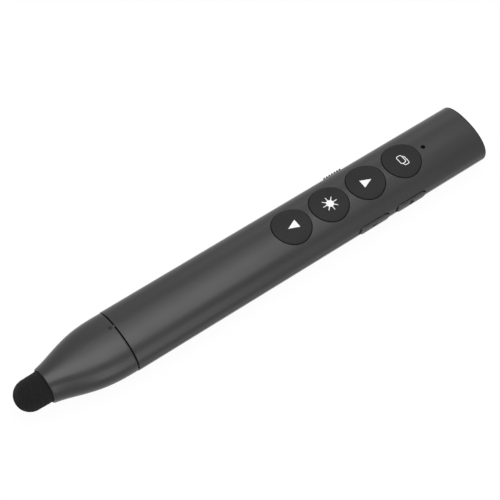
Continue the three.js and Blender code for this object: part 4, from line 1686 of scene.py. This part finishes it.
    def sun(self) -> Piece:
        """Draw a disc with eight tapering rays.

        Returns:
            The flat shape.
        """
        disc, tip = self.sun_radii
        root = disc * self.ray_root
        wide, narrow = (width / 2 for width in self.ray_widths)
        circle = bpy.ops.mesh.primitive_circle_add
        sides = self.disc_sides
        parts = [start_piece("disc", circle, vertices=sides, radius=disc, fill_type="NGON")]
        for step in range(self.rays):
            turn = Matrix.Rotation(step * 2 * math.pi / self.rays, 3, "Z")
            ends = [(root, -wide), (tip, -narrow), (tip, narrow), (root, wide)]
            parts.append(self.flat_shape([tuple((turn @ Vector((u, v, 0)))[:2]) for u, v in ends]))
        return gather("sun", parts)

    def drape(self, shape: Piece, x: float) -> Piece:
        """Lay a flat shape on its button's curved top and give it the thickness of a print.

        Args:
            shape: The flat shape, drawn round the middle of the button.
            x: The middle of the button.

        Returns:
            The print.
        """
        crown = self.section.inset(-self.proud)
        slice_along(shape, Axis.Y, spread(-self.print_reach, self.print_reach, self.print_lines))
        u, v = self.print_offset
        shift_points(
            shape,
            lambda p: Vector((p.x + x + u, p.y + v, crown.top(p.y + v) + self.print_lift)),
        )
        thick = shape.modifiers.new("thick", "SOLIDIFY")
        thick.thickness = self.print_depth
        thick.offset = -1.0 if shape.data.polygons[0].normal.z > 0 else 1.0
        apply_modifiers(shape)
        return shape

    def windows(self, x: float) -> Piece:
        """Print two windows, of which the first hides part of the second.

        Args:
            x: The middle of the button.

        Returns:
            The print.
        """
        front = self.drape(self.pane((0.0, 0.0)), x)
        rear = self.drape(self.pane(self.pane_step), x)
        half = Vector((*self.pane_half(), self.overlap_reach))
        middle = Vector(
            (
                x + self.pane_middle[0] + self.print_offset[0],
                self.pane_middle[1] + self.print_offset[1],
                self.section.axis_height + self.section.half_height,
            )
        )
        cut(rear, [rounded_block("hidden", middle - half, middle + half, corner=self.pane_corner)])
        return gather("windows", [front, rear])

    def printed(self, symbol: Symbol, x: float) -> Piece:
        """Print one sign.

        Args:
            symbol: Which sign.
            x: The middle of its button.

        Returns:
            The print.
        """
        if symbol is Symbol.WINDOWS:
            sign = self.windows(x)
        elif symbol is Symbol.SUN:
            sign = self.drape(self.sun(), x)
        else:
            sign = self.drape(self.triangle(-1 if symbol is Symbol.TRIANGLE_BACK else 1), x)
        sign.name = f"print_{symbol.value}"
        return sign

    def build(self) -> None:
        """Build the four buttons and their signs."""
        keys = zip(self.bodies, Symbol, self.middles())
        for number, (body, symbol, x) in enumerate(keys, start=1):
            node = f"button_{number}"
            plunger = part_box(f"button_plunger_{number}")[1]
            button = self.cap(f"key_{symbol.value}", x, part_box(node)[0].z, plunger.z)
            settle(button, self.finishes.key, body, [node])
            sign = self.printed(symbol, x)
            settle(sign, self.finishes.print_white, body, sharp_from=None)


@dataclass
class SideControl(Assembly):
    """A control in the pen's side: a knob whose face follows the casing, and a flange behind it."""

    depth: float = 3 * MM
    root: float = 1 * MM
    bend_share: float = 0.92
    bend_lines: int = 13
    flange_step: float = 1.72 * MM
    flange_corner: float = 0.4 * MM

    def bend(self, knob: Piece, half: float, follow: Callable[[Vector], Vector]) -> None:
        """Slice a knob into level bands and let them follow the casing.

        Args:
            knob: The knob, or one of its ridges.
            half: Half of the knob's height.
            follow: Takes a point's place and gives its new one.
        """
        axis, reach = self.section.axis_height, half * self.bend_share
        slice_along(knob, Axis.Z, spread(axis - reach, axis + reach, self.bend_lines))
        shift_points(knob, follow)

    def flange(self, name: str, low: Vector, high: Vector) -> Piece:
        """Make the flange that keeps the knob in its slot."""
        return rounded_block(name, low, high, Axis.Y, corner=self.flange_corner)


@dataclass
class VolumeKeys(SideControl):
    """Two long keys in slots on the near side, with a sunk minus and plus."""

    length: float = 10.7 * MM
    height: float = 2.85 * MM
    shift: float = -0.42 * MM
    proud: float = 0.38 * MM
    edge: float = 0.16 * MM
    edge_steps: int = 5
    mark_length: float = 1.9 * MM
    mark_width: float = 0.5 * MM
    mark_depth: float = 0.45 * MM
    mark_corner: float = 0.15 * MM

    def marks(self, x: float, face: float, is_plus: bool) -> list[Piece]:
        """Make the cutters of a minus or plus sign.

        Args:
            x: The key's middle.
            face: The place of its outer face.
            is_plus: Whether the sign is a plus.

        Returns:
            One cutter, or two for a plus.
        """
        axis = self.section.axis_height
        halves = [Vector((self.mark_length / 2, 0, self.mark_width / 2))]
        if is_plus:
            halves.append(Vector((self.mark_width / 2, 0, self.mark_length / 2)))
        low, high = Vector((x, face - self.root, axis)), Vector((x, face + self.mark_depth, axis))
        return [
            rounded_block("mark", low - half, high + half, Axis.Y, corner=self.mark_corner)
            for half in halves
        ]

    def key(self, node: str, body: Body, is_plus: bool) -> None:
        """Build one key from its crown, its sunk sign and its flange.

        Args:
            node: The CAD node that it replaces.
            body: The body that it moves with.
            is_plus: Whether its sign is a plus.
        """
        low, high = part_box(node)
        width = self.section.half_width
        face, inner = -(width + self.proud), -(width - self.depth)
        half = Vector((self.length / 2, 0, self.height / 2))
        centre = Vector((middle_of(node) + self.shift, 0, self.section.axis_height))
        crown = rounded_block(
            f"{node}_cap",
            centre - half + Vector((0, face, 0)),
            centre + half + Vector((0, inner, 0)),
            Axis.Y,
            corner=half.z,
            edge=self.edge,
            steps=self.edge_steps,
        )
        cut(crown, self.marks(middle_of(node) + self.shift, face, is_plus))
        outer = replace(
            self.section,
            half_width=width + self.proud,
            half_height=self.section.half_height + self.proud,
        )

        def follow(place: Vector) -> Vector:
            """Draw a point of the crown back to the casing's curve."""
            back = outer.half_width - outer.reach(place.z) if place.y < inner - self.root else 0.0
            return place + Vector((0, back, 0))

        self.bend(crown, half.z, follow)
        flange_low = Vector((low.x, -(width - self.flange_step), low.z))
        flange = self.flange(f"{node}_flange", flange_low, Vector((high.x, inner, high.z)))
        settle(gather(f"{node}_cap", [crown, flange]), self.finishes.paint, body, [node])

    def build(self) -> None:
        """Build both keys."""
        self.key("volume_down_key", Body.VOLUME_DOWN, is_plus=False)
        self.key("volume_up_key", Body.VOLUME_UP, is_plus=True)


@dataclass
class PowerSlider(SideControl):
    """The ridged slider on the far side."""

    length: float = 8 * MM
    height: float = 2.8 * MM
    shift: float = -0.5 * MM
    corner: float = 0.5 * MM
    edge: float = 0.15 * MM
    ridges: int = 7
    pitch: float = 0.95 * MM
    ridge_width: float = 0.46 * MM
    ridge_height: float = 0.97
    ridge_proud: float = 0.66 * MM
    ridge_sunk: float = 0.6 * MM
    ridge_round: float = 0.18 * MM
    ridge_edge: float = 0.1 * MM

    def build(self) -> None:
        """Build the knob with its ridges and the flange behind it."""
        low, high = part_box("power_slider")
        axis = self.section.axis_height
        middle = middle_of("power_slider") + self.shift
        face = self.section.half_width
        inner = face - self.depth
        half = Vector((self.length / 2, 0, self.height / 2))
        start, end = Vector((middle, inner, axis)) - half, Vector((middle, face, axis)) + half
        knob = rounded_block("slider_knob", start, end, Axis.Y, corner=self.corner, edge=self.edge)
        parts = [knob]
        for index in range(self.ridges):
            x = middle + (index - (self.ridges - 1) / 2) * self.pitch
            reach = Vector((self.ridge_width / 2, 0, half.z * self.ridge_height))
            start = Vector((x, face - self.ridge_sunk, axis)) - reach
            end = Vector((x, face + self.ridge_proud, axis)) + reach
            parts.append(
                rounded_block("ridge", start, end, corner=self.ridge_round, edge=self.ridge_edge)
            )

        def follow(place: Vector) -> Vector:
            """Draw a point of the knob back to the casing's curve."""
            back = face - self.section.reach(place.z) if place.y > inner + self.root else 0.0
            return place - Vector((0, back, 0))

        for part in parts:
            self.bend(part, half.z, follow)
        flange_low = Vector((low.x, inner, low.z))
        flange_high = Vector((high.x, face - self.flange_step, high.z))
        flange = self.flange("slider_flange", flange_low, flange_high)
        slider = gather("ridged_slider", [*parts, flange])
        settle(slider, self.finishes.paint, Body.SLIDER, ["power_slider"])


@dataclass
class TailEnd(Assembly):
    """The black end cap with the laser window and the charging port."""

    sides: int = 192
    inset: float = 1.7 * MM
    rim_step: float = 0.04 * MM
    rim_round: float = 0.15 * MM
    rim_steps: int = 6
    rim_short: float = 0.19 * MM
    rim_gap: float = 0.05 * MM
    overrun: float = 1 * MM
    aperture: float = 1.1 * MM
    aperture_sides: int = 64
    seat_radius: float = 2.0 * MM
    seat_depth: float = 0.6 * MM
    seat_sides: int = 96
    bore_step: float = 0.3 * MM
    window_edge: float = 0.15 * MM
    window_steps: int = 4
    window_sides: int = 72
    port_sheet: float = 0.35 * MM
    port_gap: float = 0.3 * MM
    tongue_back: float = 2.2 * MM
    tongue_root: float = 0.9
    tongue_half: Pair = (3.3 * MM, 0.35 * MM)
    tongue_corner: float = 0.2 * MM
    tongue_edge: float = 0.1 * MM
    strips: int = 11
    strip_pitch: float = 0.49 * MM
    strip_width: float = 0.3 * MM
    strip_start: Vector = field(default_factory=lambda: Vector((1, -2.7, -0.37)) * MM)
    strip_short: float = 0.4 * MM
    strip_corner: float = 0.03 * MM

    def cap(self) -> None:
        """Extrude the cap and its rim, then cut the laser's aperture and the port's opening."""
        low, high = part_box("end_cap")
        plug = self.section.inset(self.inset)
        rim = self.section.inset(self.rim_step)
        back_of_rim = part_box("upper_shell")[1].x + self.rim_gap
        rings = [
            plug.ring(low.x, self.sides),
            plug.ring(back_of_rim, self.sides),
            rim.ring(back_of_rim, self.sides),
            *soft_end(rim, high.x - self.rim_short, -1, self.rim_round, self.rim_steps, self.sides),
        ]
        cap = loft("tail_cap", rings)
        start, end = low.x - self.overrun, high.x + self.overrun
        height = middle_of("laser_window", Axis.Z)
        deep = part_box("laser_barrel")[1].x + self.port_gap
        port_low, port_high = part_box("charging_port")
        gap = Vector((0, self.port_gap, self.port_gap))
        opening_low = Vector((start, port_low.y, port_low.z)) - gap
        opening_high = Vector((end, port_high.y, port_high.z)) + gap
        corner = (opening_high.z - opening_low.z) / 2
        seat, bore = high.x - self.seat_depth, self.seat_radius + self.bore_step
        cut(
            cap,
            [
                rod("aperture", (start, end), self.aperture, height, self.aperture_sides),
                rod("seat", (seat, end), self.seat_radius, height, self.seat_sides),
                rod("bore", (start, deep), bore, height, self.aperture_sides),
                rounded_block("opening", opening_low, opening_high, Axis.X, corner=corner),
            ],
        )
        settle(cap, self.finishes.gloss, Body.SHELL, ["end_cap"])

    def window(self) -> None:
        """Turn the laser window with a softened rim."""
        low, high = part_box("laser_window")
        radius = (high.z - low.z) / 2
        profile = [(low.x, 0.0), (low.x, radius)]
        for back, inward in reversed(quarter(self.window_edge, self.window_steps)):
            profile.append((high.x - back, radius - inward))
        profile.append((high.x, 0.0))
        height = middle_of("laser_window", Axis.Z)
        window = turned("window_disc", profile, height, self.window_sides)
        settle(window, self.finishes.lens, Body.SHELL, ["laser_window"])

    def port(self) -> None:
        """Draw the port's can from a block, with its mouth, its tongue and the contacts on it."""
        low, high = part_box("charging_port")
        can = rounded_block("port_can", low, high, Axis.X, corner=(high.z - low.z) / 2)
        with editing(can, Element.FACE):
            pick(can, Element.FACE, lambda *corners: all(abs(c.x - high.x) < NEAR for c in corners))
            bpy.ops.mesh.inset(thickness=self.port_sheet)
            inwards = (-(high.x - low.x - self.port_sheet), 0, 0)
            bpy.ops.mesh.extrude_region_move(TRANSFORM_OT_translate={"value": inwards})
        settle(can, self.finishes.steel, Body.SHELL, ["charging_port"])
        back = Vector((low.x, 0, middle_of("charging_port", Axis.Z)))
        end = high.x - low.x - self.tongue_back
        half = Vector((0, *self.tongue_half))
        tongue = rounded_block(
            "port_tongue",
            back + Vector((self.port_sheet * self.tongue_root, 0, 0)) - half,
            back + Vector((end, 0, 0)) + half,
            Axis.X,
            corner=self.tongue_corner,
            edge=self.tongue_edge,
        )
        settle(tongue, self.finishes.resin, Body.SHELL)
        start = self.strip_start
        far = Vector((end - self.strip_short, start.y + self.strip_width, -start.z))
        strip = rounded_block("contact", back + start, back + far, Axis.X, corner=self.strip_corner)
        steps = [Vector((0, i * self.strip_pitch, 0)) for i in range(1, self.strips)]
        copies = [twin(strip, "contact", step) for step in steps]
        contacts = gather("port_contacts", [strip, *copies])
        settle(contacts, self.finishes.brass, Body.SHELL, sharp_from=None)

    def build(self) -> None:
        """Build the cap, the window and the port."""
        self.cap()
        self.window()
        self.port()


@dataclass
class ReceiverBay(Assembly):
    """The spigot that the nose cap slides over, and the wireless receiver stowed in it."""

    sides: int = 192
    inset: float = 1.7 * MM
    edge: float = 0.3 * MM
    edge_steps: int = 4
    gap: float = 0.3 * MM
    pocket_corner: float = 0.4 * MM
    overrun: float = 1 * MM
    housing_corner: float = 2.2 * MM
    housing_edge: float = 0.7 * MM
    housing_steps: int = 6
    grooves: Pair = (2.4 * MM, 3.3 * MM)
    groove_width: float = 0.35 * MM
    groove_depth: float = 0.2 * MM
    plug_sheet: float = 0.35 * MM
    plug_inner: float = 0.1 * MM
    window: Pair = (2.2 * MM, 2.0 * MM)
    window_corner: float = 0.15 * MM
    window_back: float = 5.2 * MM
    window_aside: float = 3 * MM

    def spigot(self) -> None:
        """Extrude the spigot and cut the pocket for the plug."""
        low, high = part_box("front_spigot")
        section = self.section.inset(self.inset)
        rings = soft_end(section, low.x, 1, self.edge, self.edge_steps, self.sides)
        spigot = loft("spigot_plug", [*rings, section.ring(high.x, self.sides)])
        plug_low, plug_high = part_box("receiver_plug")
        gap = Vector((0, self.gap, self.gap))
        pocket_low = Vector((low.x - self.overrun, plug_low.y, plug_low.z)) - gap
        pocket_high = Vector((plug_high.x + 2 * self.gap, plug_high.y, plug_high.z)) + gap
        pocket = rounded_block("pocket", pocket_low, pocket_high, Axis.X, corner=self.pocket_corner)
        cut(spigot, [pocket])
        settle(spigot, self.finishes.moulded, Body.SHELL, ["front_spigot"])

    def groove(self, x: float) -> Piece:
        """Make the cutter of one grip groove round the housing.

        Args:
            x: Where the groove starts along the pen.

        Returns:
            A slab that is hollow where the housing stays.
        """
        low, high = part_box("receiver_housing")
        step = Vector((0, self.overrun, self.overrun))
        wide = Vector((x + self.groove_width, high.y, high.z)) + step
        slab = rounded_block("groove", Vector((x, low.y, low.z)) - step, wide)
        depth = Vector((0, self.groove_depth, self.groove_depth))
        keep_low = Vector((x - self.overrun, low.y, low.z)) + depth
        keep_high = Vector((x + 2 * self.overrun, high.y, high.z)) - depth
        corner = self.housing_corner - self.groove_depth
        cut(slab, [rounded_block("groove_core", keep_low, keep_high, Axis.X, corner=corner)])
        return slab

    def housing(self) -> None:
        """Make the receiver's rounded housing with two grip grooves round it."""
        low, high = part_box("receiver_housing")
        housing = rounded_block(
            "receiver_casing",
            low,
            high,
            Axis.X,
            corner=self.housing_corner,
            edge=self.housing_edge,
            steps=self.housing_steps,
        )
        cut(housing, [self.groove(low.x + place) for place in self.grooves])
        settle(housing, self.finishes.key, Body.RECEIVER, ["receiver_housing"])

    def plug(self) -> None:
        """Fold the metal plug from a block, hollow it and punch its two windows."""
        low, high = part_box("receiver_plug")
        plug = rounded_block("plug_shell", low, high, Axis.X, corner=self.plug_sheet, steps=2)
        sheet = Vector((0, self.plug_sheet, self.plug_sheet))
        hollow_low = Vector((low.x - self.overrun, low.y, low.z)) + sheet
        hollow_high = Vector((high.x + self.overrun, high.y, high.z)) - sheet
        corner = self.plug_inner
        cutters = [rounded_block("hollow", hollow_low, hollow_high, Axis.X, corner=corner, steps=2)]
        half = Vector((self.window[0] / 2, self.window[1] / 2, 0))
        for side in (-1, 1):
            centre = Vector((high.x - self.window_back, side * self.window_aside, high.z))
            start = centre - half - Vector((0, 0, 2 * self.plug_sheet))
            end = centre + half + Vector((0, 0, self.overrun))
            cutters.append(rounded_block("punched", start, end, corner=self.window_corner, steps=1))
        cut(plug, cutters)
        settle(plug, self.finishes.steel, Body.RECEIVER, ["receiver_plug"])

    def build(self) -> None:
        """Build the spigot and the receiver."""
        self.spigot()
        self.housing()
        self.plug()


@dataclass
class BatteryPad(Assembly):
    """The foam pad that holds the battery off the lower shell, a little squeezed between them."""

    corner: float = 0.6 * MM
    edge: float = 0.2 * MM
    bulge: float = 0.18 * MM
    bulge_shares: Pair = (0.6, 0.4)
    bulge_size: float = 3 * MM
    side_share: float = 0.9
    lines: int = 41
    level_lines: int = 4
    level_edge: float = 1.2
    sharp_from: float = 40.0

    def build(self) -> None:
        """Build the pad with soft edges and sides that bulge unevenly under the load."""
        low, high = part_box("battery_pad")
        pad = rounded_block("foam_pad", low, high, corner=self.corner, edge=self.edge)
        middle, half = (low + high) / 2, (high - low) / 2
        even, uneven = self.bulge_shares

        def squeeze(place: Vector) -> Vector:
            """Push a side outwards at half height, more in some places than in others."""
            side = place.y - middle.y
            share = 1 - min(abs(place.z - middle.z) / half.z, 1.0) ** 2
            out = self.bulge * share * (even + uneven * noise.noise(place / self.bulge_size))
            outer = abs(side) > self.side_share * half.y
            return place + Vector((0, math.copysign(out, side) if outer else 0.0, 0))

        slice_along(pad, Axis.X, spread(low.x + self.corner, high.x - self.corner, self.lines))
        step = self.level_edge * self.edge
        slice_along(pad, Axis.Z, spread(low.z + step, high.z - step, self.level_lines))
        shift_points(pad, squeeze)
        settle(pad, self.finishes.foam, Body.SHELL, ["battery_pad"], self.sharp_from)


@dataclass
class InnerWorks:
    """The parts inside the casing, whose solids are already right and only get their finish."""

    finishes: Finishes
    names: ClassVar[dict[str, tuple[str, ...]]] = {
        "steel": ("tip_sleeve", "board_screw", "crystal_can", "slide_switch", "laser_diode"),
        "brass": ("laser_barrel",),
        "board": ("receiver_board", "main_board"),
        "pouch": ("battery", "battery_socket", "battery_lead_red", "battery_lead_black"),
        "milky": ("button_plunger", "volume_down_plunger", "volume_up_plunger")
        + ("slider_actuator", "status_lamp"),
        "resin": ("radio_chip", "button_switch", "volume_down_switch", "volume_up_switch"),
        "smoked": ("light_pipe",),
        "lens": ("laser_lens",),
    }

    def build(self, nodes: dict[str, Piece]) -> None:
        """Dress every CAD node that still shows.

        Args:
            nodes: The CAD nodes by name.
        """
        for name, node in nodes.items():
            if node.hide_render:
                continue
            stem = name.rstrip("_0123456789")
            kind = next(kind for kind, names in self.names.items() if stem in names)
            finish: Finish = getattr(self.finishes, kind)
            for slot in node.material_slots:
                slot.material = finish.material()
            LOG.info("%s: %s", name, finish.name)


# -------------------------------------------------------------------------------------------------
# Studio
# -------------------------------------------------------------------------------------------------


@dataclass(frozen=True)
class Softbox:
    """A rectangular lamp beside or above the pen, square to the pen's axis."""

    name: str
    bearing: float
    reach: Span
    width: float
    distance: float
    watts: float

    def hang(self) -> None:
        """Add the lamp at its bearing, in degrees from +Y over the top, and turn it to the axis."""
        turn = math.radians(self.bearing)
        away = Vector((0, math.cos(turn), math.sin(turn)))
        along = Vector((1, 0, 0))
        lamp = start_piece(self.name, bpy.ops.object.light_add, type="AREA")
        lamp.data.shape = "RECTANGLE"
        lamp.data.size = self.reach[1] - self.reach[0]
        lamp.data.size_y = self.width
        lamp.data.energy = self.watts
        lamp.location = away * self.distance + along * sum(self.reach) / 2
        lamp.rotation_euler = Matrix((along, away.cross(along), away)).transposed().to_euler()


@dataclass(frozen=True)
class Studio:
    """The pale floor, the soft lamps and the camera."""

    floor_size: float = 6.0
    floor_colour: Colour = (0.92, 0.92, 0.92)
    floor_roughness: float = 0.9
    whiteness: float = 0.96
    sky: float = 0.291
    lens: float = 115.2
    sensor: float = 36.0
    nearest: float = 0.01
    eye: Vector = field(default_factory=lambda: Vector((-156.49, -185.87, 393.39)) * MM)
    right: Vector = field(default_factory=lambda: Vector((0.804924, -0.592137, 0.038426)))
    down: Vector = field(default_factory=lambda: Vector((-0.483602, -0.692165, -0.535768)))
    forward: Vector = field(default_factory=lambda: Vector((0.34384, 0.41267, -0.84350)))

    def seen(self, wiring: Wiring) -> Socket:
        """Tell the rays that see a surface from those that light it.

        Args:
            wiring: The wiring of a material or the world.

        Returns:
            1 for a ray from the camera, off a mirroring surface or through glass, or else 0.
        """
        rays = wiring.add("ShaderNodeLightPath").outputs
        mirrored = wiring.math("MAXIMUM", rays["Is Glossy Ray"], rays["Is Transmission Ray"])
        return wiring.math("MAXIMUM", rays["Is Camera Ray"], mirrored)

    def mix(self, wiring: Wiring, share: Socket, lit: Socket, white: Socket, output: Node) -> None:
        """Show white where a ray sees, and the lit surface elsewhere.

        Args:
            wiring: The wiring of a material or the world.
            share: How much white is shown.
            lit: The surface that the lamps light.
            white: The white surface.
            output: The output node.
        """
        mixed = wiring.feed(wiring.add("ShaderNodeMixShader"), {0: share, 1: lit, 2: white})
        wiring.feed(output, {"Surface": mixed.outputs["Shader"]})

    def floor(self) -> None:
        """Lay a pale floor that looks white and keeps a shadow."""
        floor = start_piece("pale_floor", bpy.ops.mesh.primitive_plane_add, size=self.floor_size)
        material = bpy.data.materials.new("pale_floor")
        material.use_nodes = True
        nodes = material.node_tree.nodes
        wiring = Wiring(material.node_tree)
        shader = wiring.feed(
            nodes["Principled BSDF"],
            {
                "Base Color": (*self.floor_colour, 1.0),
                "Roughness": self.floor_roughness,
                "Specular IOR Level": 0.0,
            },
        )
        white = wiring.feed(wiring.add("ShaderNodeEmission"), {"Strength": 1.0})
        share = wiring.math("MULTIPLY", self.seen(wiring), self.whiteness)
        lit, glow = shader.outputs["BSDF"], white.outputs["Emission"]
        self.mix(wiring, share, lit, glow, nodes["Material Output"])
        floor.data.materials.append(material)

    def world(self) -> None:
        """Light the room evenly, and show white past the floor and in reflections."""
        world = bpy.data.worlds.new("studio")
        bpy.context.scene.world = world
        world.use_nodes = True
        nodes = world.node_tree.nodes
        wiring = Wiring(world.node_tree)
        room = wiring.feed(nodes["Background"], {"Color": (self.sky,) * 3 + (1.0,)})
        white = wiring.feed(wiring.add("ShaderNodeBackground"), {"Color": (1.0,) * 4})
        output = nodes["World Output"]
        self.mix(wiring, self.seen(wiring), room.outputs[0], white.outputs[0], output)

    def lamps(self) -> None:
        """Hang a bank of strips overhead, a weak box behind the pen and two in front of it."""
        for lamp in (
            Softbox("overhead_back", 65, (-0.3, 0.3), 0.088, 0.5, 0.286),
            Softbox("overhead_far", 75, (-0.3, 0.3), 0.088, 0.5, 0.538),
            Softbox("overhead_middle", 85, (-0.3, 0.2), 0.088, 0.5, 0.548),
            Softbox("overhead_near", 95, (-0.3, 0.2), 0.088, 0.5, 0.485),
            Softbox("overhead_front", 105, (-0.3, 0.2), 0.088, 0.5, 0.561),
            Softbox("back_high", 35, (0.225, 0.675), 0.3, 0.9, 0.401),
            Softbox("front_high", 150, (-0.225, 0.27), 0.3, 0.9, 1.35),
            Softbox("front_low", 172, (-0.2, 0.25), 0.3, 0.9, 1.3),
        ):
            lamp.hang()

    def camera(self) -> None:
        """Set the camera where the photograph was taken from."""
        data = bpy.data.cameras.new("photo_camera")
        camera = bpy.data.objects.new("photo_camera", data)
        bpy.context.scene.collection.objects.link(camera)
        data.lens = self.lens
        data.sensor_width = self.sensor
        data.clip_start = self.nearest
        turn = Matrix((self.right, -self.down, -self.forward)).transposed().to_4x4()
        camera.matrix_world = Matrix.Translation(self.eye) @ turn
        bpy.context.scene.camera = camera

    def build(self) -> None:
        """Set up the whole studio."""
        self.floor()
        self.world()
        self.lamps()
        self.camera()
        bpy.context.scene.view_settings.view_transform = "Standard"


def main() -> None:
    """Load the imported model, build every sub-assembly around it and set up the studio."""
    logging.basicConfig(level=logging.INFO, format="%(name)s: %(message)s")
    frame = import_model()
    finishes = Finishes()
    section = Section(axis_height=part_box("upper_shell")[1].z - Section.half_height)
    for assembly in (
        BodyShells,
        NoseCap,
        StylusTip,
        RoundButtons,
        VolumeKeys,
        PowerSlider,
        TailEnd,
        ReceiverBay,
        BatteryPad,
    ):
        assembly(section, finishes).build()
    InnerWorks(finishes).build(frame["nodes"])
    Studio().build()


if __name__ == "__main__":
    main()
